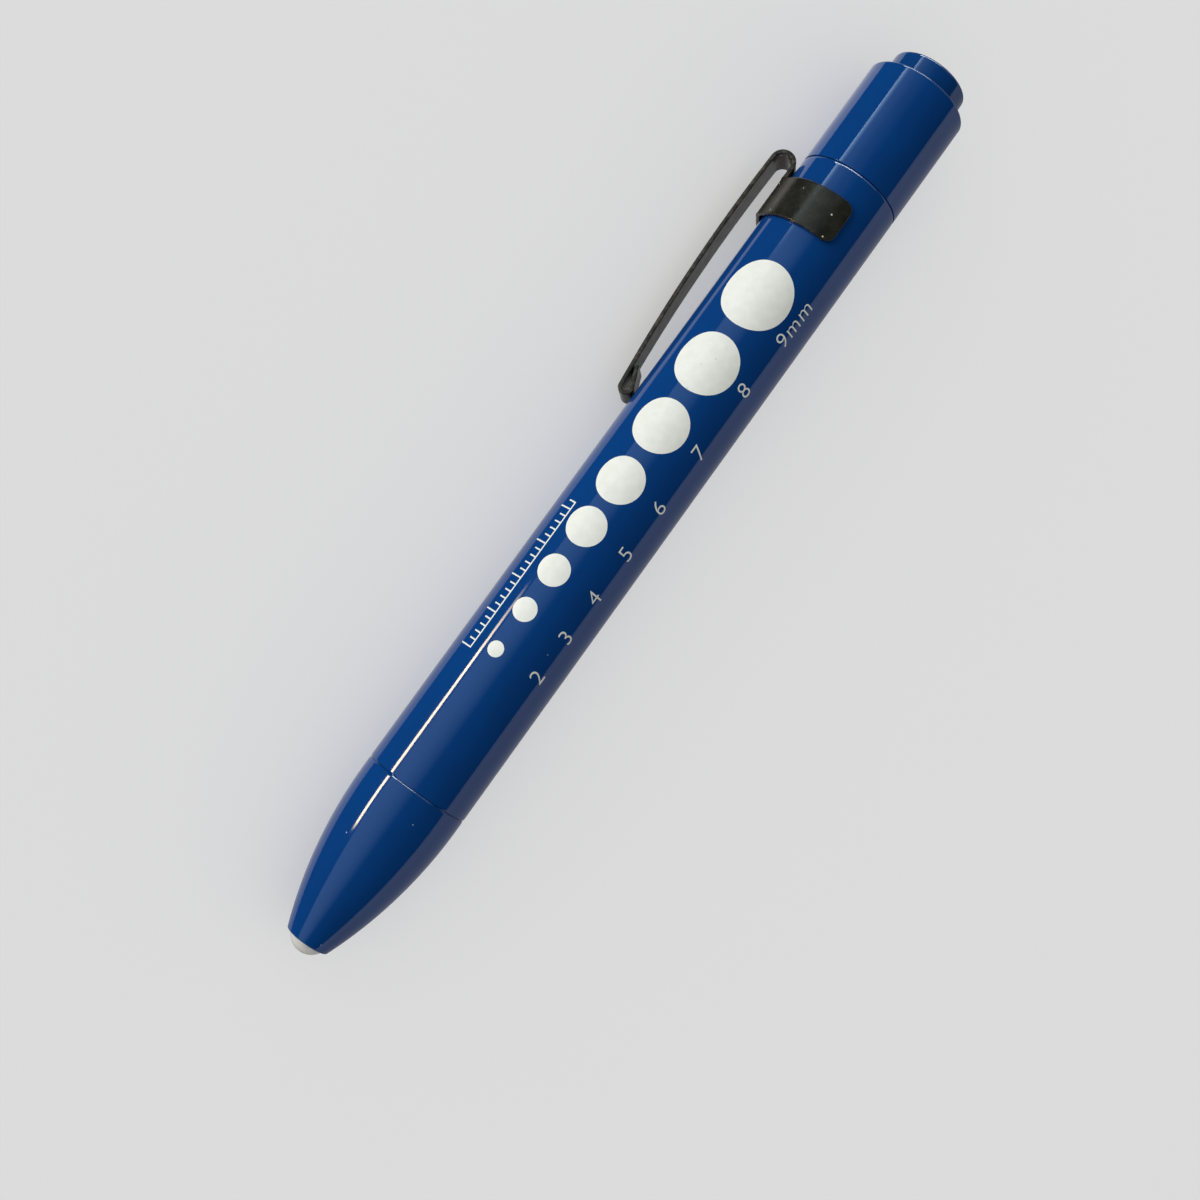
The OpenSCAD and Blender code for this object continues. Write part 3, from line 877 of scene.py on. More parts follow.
@dataclass
class Barrel:
    """Painted tube with its printed gauge; sizes are millimetres, turns are degrees from the clip."""

    pen: PenFrame
    front_round: float = 0.6
    front_turn: float = 25.0
    front_steps: int = 6
    rear_round: float = 0.6
    rear_turn: float = 40.0
    socket_r: float = 6.2
    bore_r: float = 5.6
    socket_depth: float = 5.05
    ink_sunk: float = 0.02
    ink_proud: float = 0.015
    first_dot: int = 2
    first_dot_at: float = 40.5
    dot_gaps: tuple[float, ...] = (3.2, 2.2, 1.9, 1.3, 1.6, 1.8, 1.8)
    dot_turn: float = 85.9
    dot_turn_at: float = 65.6
    dot_skew: float = 0.07
    dot_steps: int = 72
    number_turn: float = 136.2
    last_turn: float = 138.8
    number_height: float = 2.0
    number_ahead: float = 0.15
    number_thin: float = 0.012
    number_spread: float = 1.12
    number_steps: int = 6
    unit: str = "mm"
    tick_start: float = 39.0
    tick_count: int = 22
    tick_group: int = 5
    tick_turn: float = 59.0
    tick_width: float = 0.18
    tick_short: float = 1.1
    tick_long: float = 1.9
    cut_mm: float = 0.3

    def shell(self) -> Item:
        """Builds the tube with a socket in each end.

        Returns:
            The tube.
        """
        body_r = self.pen.radius("barrel")
        start, end = self.pen.span("barrel")
        front = start + self.front_round * math.sin(math.radians(self.front_turn))
        rear = end - self.rear_round * math.sin(math.radians(self.rear_turn))
        lip = body_r - self.front_round * (1 - math.cos(math.radians(self.front_turn)))
        outline = Outline(self.socket_r, start).line(lip, start)
        outline.arc((body_r - self.front_round, front), -self.front_turn, 0, self.front_steps)
        outline.line(body_r, rear).arc((body_r - self.rear_round, rear), 0, self.rear_turn)
        outline.line(self.socket_r, end).line(self.socket_r, end - self.socket_depth)
        outline.line(self.bore_r, end - self.socket_depth).line(self.bore_r, start + self.socket_depth)
        outline.line(self.socket_r, start + self.socket_depth)
        tube = add_piece("barrel_shell", outline.turned(closed=True), self.pen, BLUE_ENAMEL)
        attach(tube, "barrel")
        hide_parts("barrel")
        return tube

    def dots(self) -> list[tuple[int, float, float]]:
        """Works out the gauge.

        Returns:
            Diameter, place along the pen and turn of each dot.
        """
        place, rows = self.first_dot_at, []
        for size, gap in enumerate((*self.dot_gaps, 0.0), self.first_dot):
            rows.append((size, place, self.dot_turn + self.dot_skew * (place - self.dot_turn_at)))
            place += size / 2 + gap + (size + 1) / 2
        return rows

    def wrap(self, name: str, bm: BMesh) -> Item:
        """Gives flat print its thickness and lays it round the tube.

        Args:
            name: Name of the piece.
            bm: Flat faces: X is the way round from the clip, Y the place along the pen.

        Returns:
            The print.
        """
        body_r = self.pen.radius("barrel")
        around = [vert.co.x for vert in bm.verts]
        cut_across(bm, 0, even_steps(min(around), max(around), self.cut_mm)[1:-1])
        thicken(bm, self.ink_sunk + self.ink_proud)
        for vert in bm.verts:
            turn = vert.co.x / body_r
            radius = body_r - self.ink_sunk + vert.co.z
            vert.co = (radius * math.cos(turn), radius * math.sin(turn), vert.co.y)
        ink = add_piece(name, bm, self.pen, PRINT_INK)
        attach(ink, "barrel")
        return ink

    def around(self, turn_deg: float) -> float:
        """Length round the tube that a turn from the clip makes."""
        return math.radians(turn_deg) * self.pen.radius("barrel")

    def print_dots(self) -> Item:
        """Prints the round gauge dots.

        Returns:
            The dots.
        """
        bm = bmesh.new()
        for size, place, turn in self.dots():
            centre = Matrix.Translation((self.around(turn), place, 0))
            disc = {"segments": self.dot_steps, "radius": size / 2}
            bmesh.ops.create_circle(bm, cap_ends=True, matrix=centre, **disc)
        return self.wrap("gauge_dots", bm)

    def print_numbers(self) -> Item:
        """Prints the size beside each dot, and the unit beside the last.

        Returns:
            The numbers.
        """
        bm = bmesh.new()
        rows = self.dots()
        for size, place, turn in rows:
            last = size == rows[-1][0]
            text = f"{size}{self.unit}" if last else str(size)
            middle = self.last_turn if last else self.number_turn
            ahead = 0.0 if last else self.number_ahead
            spot = Matrix.Translation((self.around(middle), place + ahead, 0))
            self.add_text(bm, text, spot @ Matrix.Rotation(math.pi / 2, 4, "Z"))
        return self.wrap("gauge_numbers", bm)

    def add_text(self, bm: BMesh, text: str, place: Matrix) -> None:
        """Adds filled characters to flat print.

        Args:
            bm: The print.
            text: The characters.
            place: Where their middle goes, with their own X as the reading direction.
        """
        curve = bpy.data.curves.new("label", "FONT")
        curve.body = text
        curve.resolution_u = self.number_steps
        curve.offset, curve.space_character = -self.number_thin, self.number_spread
        label = put_in_scene("label", curve)
        bpy.context.view_layer.update()
        mesh = bpy.data.meshes.new_from_object(label.evaluated_get(bpy.context.evaluated_depsgraph_get()))
        low = [min(vert.co[axis] for vert in mesh.vertices) for axis in (0, 1)]
        high = [max(vert.co[axis] for vert in mesh.vertices) for axis in (0, 1)]
        middle = Vector(((low[0] + high[0]) / 2, (low[1] + high[1]) / 2, 0))
        size = Matrix.Scale(self.number_height / (high[1] - low[1]), 4)
        mesh.transform(place @ size @ Matrix.Translation(-middle))
        bm.from_mesh(mesh)
        bpy.data.objects.remove(label)
        bpy.data.curves.remove(curve)
        bpy.data.meshes.remove(mesh)

    def print_ticks(self) -> Item:
        """Prints a plain row of millimetre ticks on a base line.

        Returns:
            The ticks.
        """
        bm = bmesh.new()
        base = self.around(self.tick_turn)
        length = self.tick_count - 1
        bars = [(self.tick_width, length + self.tick_width, base, self.tick_start + length / 2)]
        for step in range(self.tick_count):
            tall = self.tick_short if step % self.tick_group else self.tick_long
            bars.append((tall, self.tick_width, base - tall / 2, self.tick_start + step))
        for across, along, around, place in bars:
            shape = Matrix.Translation((around, place, 0)) @ Matrix.Diagonal((across, along, 1, 1))
            bmesh.ops.create_grid(bm, x_segments=1, y_segments=1, size=0.5, matrix=shape)
        return self.wrap("gauge_ticks", bm)

    def build(self) -> None:
        """Builds the tube and everything printed on it."""
        self.shell()
        self.print_dots()
        self.print_numbers()
        self.print_ticks()


@dataclass
class CoilSpring:
    """Wire spring that the button presses shorter towards its fixed end; sizes are millimetres."""

    pen: PenFrame
    name: str
    node: str
    body: str
    turns: int
    wire: float
    fixed_r: float
    free_r: float
    sides: int = 12
    steps: int = 40

    def build(self) -> Item:
        """Winds the wire and gives it its taper.

        Returns:
            The spring.
        """
        low, high = self.pen.span(self.node)
        half = self.wire / 2
        count = self.turns * self.steps
        bm = bmesh.new()
        section = Matrix.Translation((self.fixed_r, 0, low + half)) @ Matrix.Rotation(math.pi / 2, 4, "X")
        bmesh.ops.create_circle(bm, cap_ends=True, segments=self.sides, radius=half, matrix=section)
        rise = (high - low - self.wire) / count
        spin_round(bm, bm.faces[:], math.tau * self.turns, count, rise)
        for vert in bm.verts:
            shift = (self.free_r - self.fixed_r) * share_between(vert.co.z, low + half, high - half)
            vert.co.xy = vert.co.xy * (1 + shift / vert.co.xy.length)
        spring = add_piece(self.name, bm, self.pen, SLOT_FINISHES["spring_steel"])
        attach(spring, self.body)
        self.pen.point(0, 0, low)
        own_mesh(spring)
        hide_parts(self.node)
        return spring


@dataclass
class TailAssembly:
    """Screw-on tail cap and its push button; sizes are millimetres."""

    pen: PenFrame
    seam_round: float = 0.06
    seam_steps: int = 4
    rim_round: float = 0.3
    bore_r: float = 5.6
    hole_r: float = 5.2
    hole_round: float = 0.1
    hole_steps: int = 3
    end_wall: float = 1.45
    sleeve_length: float = 5.0
    thread_root: float = 5.95
    thread_crest: float = 6.14
    thread_pitch: float = 0.75
    thread_foot: float = 0.315
    thread_top: float = 0.075
    thread_turns: int = 5
    thread_steps: int = 48
    button_r: float = 5.1
    button_round: float = 0.4
    button_flange_r: float = 5.5
    button_flange: float = 1.4
    button_hole_r: float = 4.2
    button_end: float = 1.25
    stem_r: float = 1.25
    stem_length: float = 1.5
    battery_wire: float = 0.5
    battery_r: tuple[float, float] = (4.05, 2.05)
    battery_turns: int = 4
    return_wire: float = 0.45
    return_r: float = 3.275
    return_turns: int = 7

    def cap(self) -> Item:
        """Builds the cap with its threaded sleeve.

        Returns:
            The cap.
        """
        body_r = self.pen.radius("tail_cap")
        sleeve, rim = self.pen.span("tail_cap")
        seam = sleeve + self.sleeve_length
        corner, top = self.seam_round, self.rim_round
        outline = Outline(self.bore_r, sleeve)
        outline.line(self.thread_root, sleeve).line(self.thread_root, seam)
        outline.line(body_r - corner, seam).arc((body_r - corner, seam + corner), -90, 0, self.seam_steps)
        outline.line(body_r, rim - top).arc((body_r - top, rim - top), 0, 90)
        outline.line(self.hole_r + self.hole_round, rim)
        outline.arc((self.hole_r + self.hole_round, rim - self.hole_round), 90, 180, self.hole_steps)
        outline.line(self.hole_r, rim - self.end_wall).line(self.bore_r, rim - self.end_wall)
        bm = outline.turned(closed=True)
        self.add_thread(bm, seam)
        cap = add_piece("tail_cap_shell", bm, self.pen, BLUE_ENAMEL)
        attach(cap, "tail_cap")
        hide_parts("tail_cap")
        return cap

    def add_thread(self, bm: BMesh, seam: float) -> None:
        """Winds the thread's ridge round the sleeve.

        Args:
            bm: The cap's mesh.
            seam: Where the sleeve ends at the cap's shoulder.
        """
        foot, top, crest_r = self.thread_foot, self.thread_top, self.thread_crest
        start = seam - self.sleeve_length + self.thread_pitch / 2
        inner = self.thread_root - SUPPORT_MM
        ridge = ((inner, -foot), (crest_r, -top), (crest_r, top), (inner, foot))
        _, edges = draw_line(bm, [(radius, 0, start + place) for radius, place in ridge], closed=True)
        first = bmesh.ops.contextual_create(bm, geom=edges)["faces"]
        steps = self.thread_turns * self.thread_steps
        rise = self.thread_pitch / self.thread_steps
        spin_round(bm, first, math.tau * self.thread_turns, steps, rise)

    def button(self) -> Item:
        """Builds the hollow button with its flange and stem.

        Returns:
            The button.
        """
        stem, top = self.pen.span("push_button")
        foot = stem + self.stem_length
        flange = foot + self.button_flange
        roof = top - self.button_end
        corner = self.button_round
        outline = Outline(0, top)
        outline.line(self.button_r - corner, top)
        outline.arc((self.button_r - corner, top - corner), 90, 0)
        outline.line(self.button_r, flange).line(self.button_flange_r, flange)
        outline.line(self.button_flange_r, foot).line(self.button_hole_r, foot)
        outline.line(self.button_hole_r, roof).line(self.stem_r, roof)
        outline.line(self.stem_r, stem).line(0, stem)
        button = add_piece("button_shell", outline.turned(closed=False), self.pen, BUTTON_ENAMEL)
        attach(button, "button")
        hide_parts("push_button")
        return button

    def springs(self) -> list[CoilSpring]:
        """Lists the battery spring under the plunger and the spring that lifts the button.

        Returns:
            Both springs.
        """
        battery = (self.battery_turns, self.battery_wire, *self.battery_r)
        lifting = (self.return_turns, self.return_wire, self.return_r, self.return_r)
        return [
            CoilSpring(self.pen, "battery_coil", "battery_spring", "tail_spring", *battery),
            CoilSpring(self.pen, "button_coil", "button_spring", "tail_cap", *lifting),
        ]

    def build(self) -> None:
        """Builds the cap, the button and the springs between them."""
        self.cap()
        self.button()
        for spring in self.springs():
            spring.build()


@dataclass(frozen=True)
class Bend:
    """A stretch of a bent strip: its length, and how far it turns to the left, in radians."""

    length: float
    turn: float = 0.0


class Ribbon:
    """Line of a bent strip's face in a plane, as straight and round stretches laid end to end."""

    def __init__(self, start: tuple[float, float], heading: float, bends: Sequence[Bend]) -> None:
        """Lays the stretches from a start point.

        Args:
            start: The first point.
            heading: First direction, in radians from the plane's first axis.
            bends: The stretches in order.
        """
        self.stretches: list[tuple[float, Vector, float, Bend]] = []
        self.length = 0.0
        place = Vector(start)
        for bend in bends:
            self.stretches.append((self.length, place, heading, bend))
            self.length += bend.length
            place = self.end_of(place, heading, bend, bend.length)
            heading += bend.turn

    @staticmethod
    def end_of(place: Vector, heading: float, bend: Bend, run: float) -> Vector:
        """Where a stretch has got to.

        Args:
            place: Where it starts.
            heading: Its first direction.
            bend: The stretch.
            run: How far along it the point lies.

        Returns:
            The point.
        """
        if not bend.turn:
            return place + run * Vector((math.cos(heading), math.sin(heading)))
        radius = bend.length / bend.turn
        after = heading + bend.turn * run / bend.length
        shift = Vector((math.sin(after) - math.sin(heading), math.cos(heading) - math.cos(after)))
        return place + radius * shift

    def place(self, run: float, depth: float) -> Vector:
        """A point of the strip.

        Args:
            run: Distance along the line.
            depth: Distance to the right of the line.

        Returns:
            The point in the plane.
        """
        begun, place, heading, bend = [row for row in self.stretches if row[0] <= max(run, 0.0)][-1]
        along = run - begun
        heading_there = heading + (bend.turn * along / bend.length if bend.length else 0.0)
        right = Vector((math.sin(heading_there), -math.cos(heading_there)))
        return self.end_of(place, heading, bend, along) + depth * right


@dataclass
class SpringClip:
    """One-piece spring clip: a flat blank is cut, then bent round the barrel and over; sizes are millimetres.

    On the blank X runs round the barrel, Y runs along the tab and the arm, and Z is the thickness.
    """

    pen: PenFrame
    thickness: float = 0.55
    seat_gap: float = 0.05
    band_width: float = 5.6
    band_reach: float = 117.0
    band_corner: float = 1.2
    flat_half: float = 2.45
    fold_r: float = 0.4
    tab_fillet: float = 0.45
    arm_width: float = 4.6
    tip_width: float = 3.9
    bend_r: float = 1.68
    bow_r: float = 236.34
    bow_at: float = 8.0
    roll_r: float = 1.0
    roll_length: float = 4.1
    edge_round: float = 0.09
    edge_steps: int = 2
    edge_reach: float = 0.4
    edge_lead: float = 0.225
    cut_mm: float = 0.3
    band_cut_mm: float = 1.2
    flat_cut_mm: float = 2.0
    bend_cut_mm: tuple[float, float] = (0.12, 1.5)
    bend_cut_turn: float = 0.12
    sharp_deg: float = 60.0
    flex_slant: float = -0.12
    flex_reach: tuple[float, float] = (0.13, 1.5)

    def __post_init__(self) -> None:
        """Works out the places of the bends and the lines that the faces follow."""
        self.band_start = self.pen.span("clip_band")[0]
        self.tip, self.top = self.pen.span("clip_arm")
        self.band_r = self.pen.radius("barrel") + self.seat_gap
        self.bend_z = self.top - self.bend_r
        self.section = self.section_line()
        self.strip = self.strip_line()

    def section_line(self) -> Ribbon:
        """Lays out half of the band's section: the flat under the tab, a fold and the round to its end.

        Returns:
            The line of the band's inner face.
        """
        fold = 2 * math.atan2(self.flat_half, self.band_r)
        cut = self.fold_r * math.tan(fold / 2)
        rest = math.radians(self.band_reach) - fold
        bends = (
            Bend(self.flat_half - cut),
            Bend(self.fold_r * fold, fold),
            Bend(self.flat_half - cut),
            Bend(self.band_r * rest, rest),
        )
        return Ribbon((self.band_r, 0), math.pi / 2, bends)

    def strip_line(self) -> Ribbon:
        """Lays out tab, bend, bowed arm, rolled tip and flap in side view, from the band's edge on.

        Returns:
            The line of the strip's first face.
        """
        band_end = self.band_start + self.band_width
        bend_x = self.band_r + self.bend_r
        bow_z = self.bend_z - self.bow_at
        bow_x = bend_x - math.sqrt((self.bow_r - self.bend_r) ** 2 - self.bow_at**2)
        roll_z = self.tip + self.roll_r
        roll_x = bow_x + math.sqrt((self.bow_r - self.roll_r) ** 2 - (bow_z - roll_z) ** 2)
        flap_z = self.tip + self.roll_length
        inner = math.sqrt((self.bow_r - self.thickness) ** 2 - (bow_z - flap_z) ** 2)
        flap = Vector((bow_x + inner - self.thickness - self.seat_gap - roll_x, flap_z - roll_z))
        bend_turn = math.asin(self.bow_at / (self.bow_r - self.bend_r))
        roll_turn = math.asin((bow_z - roll_z) / (self.bow_r - self.roll_r))
        flap_turn = math.atan2(flap.y, flap.x) + math.acos(self.roll_r / flap.length)
        rolled = math.tau - flap_turn - roll_turn
        bends = (
            Bend(self.bend_z - band_end),
            Bend(self.bend_r * (math.pi - bend_turn), bend_turn - math.pi),
            Bend(self.bow_r * (bend_turn + roll_turn), -bend_turn - roll_turn),
            Bend(self.roll_r * rolled, -rolled),
            Bend(math.sqrt(flap.length_squared - self.roll_r**2)),
        )
        return Ribbon((self.band_r, band_end), math.pi / 2, bends)

    def blank(self) -> BMesh:
        """Cuts the flat blank and rounds its corners and edges.

        Returns:
            The blank, closed and ready to bend.
        """
        half, arm = self.section.length, self.arm_width / 2
        band, end = self.band_width, self.band_width + self.strip.length
        bm = bmesh.new()
        band_corners = ((-half, 0, 0), (half, 0, 0), (half, band, 0), (arm, band, 0))
        arm_corners = ((arm, end, 0), (-arm, end, 0), (-arm, band, 0), (-half, band, 0))
        _, edges = draw_line(bm, band_corners + arm_corners, closed=True)
        bmesh.ops.contextual_create(bm, geom=edges)
        for size, around in ((self.band_corner, half), (self.tab_fillet, arm)):
            low = [vert for vert in bm.verts if vert.co.y < band + WELD_MM]
            picked = [vert for vert in low if abs(abs(vert.co.x) - around) < WELD_MM]
            bmesh.ops.bevel(bm, geom=picked, offset=size, segments=EDGE_STEPS, affect="VERTICES", **BEVEL)
        thicken(bm, self.thickness)
        rim = [edge for edge in bm.edges if abs(edge.verts[0].co.z - edge.verts[1].co.z) < WELD_MM]
        turned = {"offset": self.edge_round, "segments": self.edge_steps}
        bmesh.ops.bevel(bm, geom=rim, affect="EDGES", **turned, **BEVEL)
        return bm

    def cuts(self) -> tuple[list[float], list[float]]:
        """Where the blank is cut so that it can bend.

        Returns:
            The places round the barrel, and the places along the strip, that above the fillets first.
        """
        half, arm, lead = self.section.length, self.arm_width / 2, self.edge_lead
        around = [0.0, arm - lead, arm - 2 * self.edge_round]
        around += even_steps(arm + self.tab_fillet, half - lead, self.cut_mm)
        along = [self.band_width + self.tab_fillet + lead]
        along += even_steps(lead, self.band_width - lead, self.band_cut_mm)
        shortest, longest = self.bend_cut_mm
        for begun, _, _, bend in self.strip.stretches[1:]:
            step = self.flat_cut_mm
            if bend.turn:
                step = max(shortest, min(longest, self.bend_cut_turn * bend.length / abs(bend.turn)))
            along += [self.band_width + begun + place for place in even_steps(0.0, bend.length, step)]
        return [*around, *(-place for place in around if place)], along[:-1]

    def bent(self, flat: Vector) -> Vector:
        """Where a point of the blank goes.

        Args:
            flat: The point on the blank.

        Returns:
            The point in pen axes.
        """
        run = flat.y - self.band_width
        if run <= self.strip.stretches[1][0]:
            across = self.section.place(abs(flat.x), flat.z)
            return Vector((across.x, math.copysign(across.y, flat.x), self.band_start + flat.y))
        side = self.strip.place(run, flat.z)
        share = share_between(self.bend_z - side.y, 0, self.bend_z - self.tip)
        width = 1 + (self.tip_width / self.arm_width - 1) * share
        return Vector((side.x, flat.x * width, side.y))

    def edge_share(self, flat: Vector) -> float:
        """Works out how close a point of the blank lies to its outline.

        Args:
            flat: The point on the blank.

        Returns:
            1 on the outline itself, down to 0 where the edge's reach ends.
        """
        arm = self.arm_width / 2
        on_band = flat.y <= self.band_width
        inward = [self.section.length - abs(flat.x), flat.y] if on_band else [arm - abs(flat.x)]
        if on_band and abs(flat.x) > arm:
            inward.append(self.band_width - flat.y)
        return 1 - share_between(min(inward), 0, self.edge_reach)

    def build(self) -> Item:
        """Bends the blank into the clip.

        Returns:
            The clip.
        """
        bm = self.blank()
        around, along = self.cuts()
        cut_across(bm, 1, along)
        cut_across(bm, 0, around)
        edge = bm.verts.layers.float.new("edge")
        for vert in bm.verts:
            vert[edge] = self.edge_share(vert.co)
            vert.co = self.bent(vert.co)
        clip = add_piece("spring_clip", bm, self.pen, BLACK_OXIDE, self.sharp_deg)
        slant = Vector((1, 0, self.flex_slant))
        pivot = Vector((self.band_r + self.bend_r, 0, self.top))
        start, end = (pivot + slant * reach for reach in self.flex_reach)
        self.pen.point(*start)
        self.pen.point(*end)
        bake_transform(clip)
        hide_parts("clip_band", "clip_arm")
        return clip


class InnerWorks:
    """The solids inside the tube, which keep their shapes and get their finishes."""

    def build(self) -> None:
        """Dresses each solid that no new piece stands for."""
        slots = {part["node"]: part["material_slot"] for part in frame["record"]["subparts"]}
        for name, solid in frame["nodes"].items():
            if solid.hide_render:
                continue
            solid.data.materials.clear()
            solid.data.materials.append(SLOT_FINISHES[slots[name]].material())
            LOG.info("%s: %s", name, slots[name])


@dataclass
class Studio:
    """Floor, lights, reflector cards and camera; lengths are millimetres in pen axes."""

    pen: PenFrame
    eye: tuple[float, float, float] = (-39.814, 185.722, 35.902)
    look_at: tuple[float, float, float] = (-4.501, -0.852, 52.784)
    upright: tuple[float, float, float] = (0.56076, 0.17927, 0.80836)
    lens_mm: float = 47.367
    sensor_mm: float = 36.0
    clip_m: tuple[float, float] = (0.01, 20.0)
    floor_size: float = 3000.0
    floor_colour: Rgb = (0.8, 0.8, 0.8)
    floor_roughness: tuple[float, float] = (0.9, 0.95)
    room_glow: float = 0.4
    key_turn: float = 50.0
    key_distance: float = 700.0
    key_size: float = 600.0
    key_watts: float = 4.1
    top_distance: float = 1500.0
    top_size: float = 2000.0
    top_watts: float = 16.0
    table_turn: float = 84.7
    table_reach: tuple[float, float] = (65.0, 105.0)
    table_tail: tuple[float, float] = (60.0, 160.0)
    table_tail_reach: float = 2.2
    table_tail_gain: float = 1.6
    # Painted contact shadow of the pen in the mirrored table: the card glows dimmer close to the pen.
    table_shade: tuple[float, float] = (0.85, 0.42)
    table_shade_width: float = 40.0
    table_shadow_band: tuple[float, float] = (10.0, 13.0)
    table_shadow_level: float = 0.45
    table_near: float = 20.0
    table_below: float = 1.5
    table_step: float = 2.0
    table_glow: float = 0.6
    table_colour: Rgb = (0.98, 0.98, 1.0)
    panel_turns: tuple[float, float] = (46.0, 104.0)
    panel_r: float = 900.0
    panel_span: tuple[float, float] = (-2000.0, 1100.0)
    panel_tail: tuple[float, float] = (400.0, 470.0)
    panel_far: tuple[float, float] = (620.0, 820.0)
    panel_step: float = 20.0
    panel_arcs: int = 29
    panel_edge: float = 0.2
    panel_glow: float = 0.95
    panel_colour: Rgb = (0.58, 0.8, 1.0)
    panel_tail_gain: float = 6.5
    panel_tail_fade: float = 1.08
    panel_fade_end: float = 0.6
    end_rows: tuple[tuple[tuple[float, float], ...], ...] = (
        ((1180.0, 900.0), (765.0, 330.0)),
        ((-105.0, 900.0), (-65.0, 330.0)),
        ((-280.0, 900.0), (-210.0, 330.0)),
        ((-1100.0, 750.0), (-950.0, 250.0)),
    )
    end_place: float = 1100.0
    end_shades: tuple[float, ...] = (1.0, 0.55, 0.1, 0.05)
    end_glow: float = 18.0
    end_colour: Rgb = (0.85, 0.93, 1.0)
    strip_turn: float = 40.0
    strip_r: float = 190.0
    strip_width: float = 22.0
    strip_span: tuple[float, float] = (-46.0, 62.0)
    strip_fades: tuple[float, float] = (11.0, 22.0)
    strip_soft: float = 5.5
    strip_cells: tuple[int, int] = (8, 20)
    strip_glow: float = 34.0
    strip_colour: Rgb = (1.0, 0.78, 0.5)

    def __post_init__(self) -> None:
        """Groups the pieces by what lights them."""
        meshes = [item for item in bpy.context.scene.objects if item.type == "MESH"]
        paint = {BLUE_ENAMEL.name, BUTTON_ENAMEL.name}
        self.pieces = self.group("lit_pieces", meshes)
        coated = [item for item in meshes if paint & {*item.data.materials.keys()}]
        self.painted = self.group("lit_paint", coated)

    @staticmethod
    def group(name: str, items: Iterable[Item]) -> bpy.types.Collection:
        """Collects objects that a light reaches.

        Args:
            name: Name of the collection.
            items: The objects.

        Returns:
            The collection.
        """
        collection = bpy.data.collections.new(name)
        for item in items:
            collection.objects.link(item)
        return collection

    def camera(self) -> None:
        """Sets the camera where the photograph was taken from."""
        data = bpy.data.cameras.new("camera")
        data.sensor_width, data.lens = self.sensor_mm, self.lens_mm
        data.clip_start, data.clip_end = self.clip_m
        camera = put_in_scene("camera", data)
        turn = self.pen.to_row.to_3x3().normalized()
        forward = turn @ (Vector(self.look_at) - Vector(self.eye)).normalized()
        right = forward.cross(turn @ Vector(self.upright)).normalized()
        axes = Matrix((right, right.cross(forward), -forward)).transposed().to_4x4()
        camera.matrix_world = Matrix.Translation(self.pen.point(*self.eye)) @ axes
        bpy.context.scene.camera = camera

    def floor(self) -> Item:
        """Lays a plain pale floor that the band and the front of the barrel rest on.

        Returns:
            The floor.
        """
        body_r = self.pen.radius("barrel")
        axis = self.pen.to_row.translation
        band, front = self.pen.span("clip_band")[0], self.pen.span("barrel")[0]
        slope = math.atan2(axis.z / MM - body_r, band - front)
        bm = bmesh.new()
        bmesh.ops.create_grid(bm, x_segments=1, y_segments=1, size=self.floor_size / 2 * MM)
        hinge = Vector((self.pen.point(0, 0, band).x, 0, 0))
        tilt = Matrix.Translation(hinge) @ Matrix.Rotation(slope, 4, "Y") @ Matrix.Translation(-hinge)
        bm.transform(tilt)
        tone = (self.floor_colour, self.floor_colour, self.floor_roughness)
        paper = Finish("floor_paper", *tone, shine=0.0)
        floor = self.stage_object("floor", bm, paper)
        floor.visible_glossy = False
        return floor

    def stage_object(self, name: str, bm: BMesh, finish: Finish | None) -> Item:
        """Makes an object of a mesh in the row frame, for the floor or a card.

        Args:
            name: Its name.
            bm: Its mesh, which is freed.
            finish: Its finish, or None for a card that gets its own.

        Returns:
            The object.
        """
        mesh = bpy.data.meshes.new(name)
        bm.to_mesh(mesh)
        bm.free()
        if finish:
            mesh.materials.append(finish.material())
        item = put_in_scene(name, mesh)
        return item

    def end_card(self) -> None:
        """Stands a bright card beyond the tail, which only the painted edges mirror."""
        bm = bmesh.new()
        glow = bm.verts.layers.float.new("glow")
        rows = [[bm.verts.new((*corner, self.end_place)) for corner in row] for row in self.end_rows]
        for row, shade in zip(rows, self.end_shades):
            for vert in row:
                vert[glow] = shade
        for row, after in zip(rows, rows[1:]):
            bmesh.ops.contextual_create(bm, geom=row + after)
        card = self.card("end_card", bm, self.end_colour, self.end_glow)
        card.light_linking.receiver_collection = self.painted

    def card(self, name: str, bm: BMesh, colour: Rgb, glow: float) -> Item:
        """Adds a glowing card that only reflections see; its glow attribute fades it.

        Args:
            name: Its name.
            bm: Its mesh in pen axes, with a glow layer on its vertices.
            colour: Colour of its light.
            glow: Its radiance where the attribute is 1.

        Returns:
            The card.
        """
        bm.transform(self.pen.to_row)
        item = self.stage_object(name, bm, None)
        material = bpy.data.materials.new(name)
        material.use_nodes = True
        material.node_tree.nodes.clear()
        graph = ShaderGraph(material.node_tree)
        fade = graph.add("ShaderNodeAttribute", attribute_name="glow")
        light = graph.add("ShaderNodeEmission", {"Color": (*colour, 1)})
        graph.join(graph.math("MULTIPLY", fade.outputs["Fac"], glow), light.inputs["Strength"])
        graph.join(light.outputs[0], graph.add("ShaderNodeOutputMaterial").inputs["Surface"])
        item.data.materials.append(material)
        item.visible_camera = item.visible_diffuse = item.visible_shadow = False
        item.visible_transmission = item.visible_volume_scatter = False
        return item

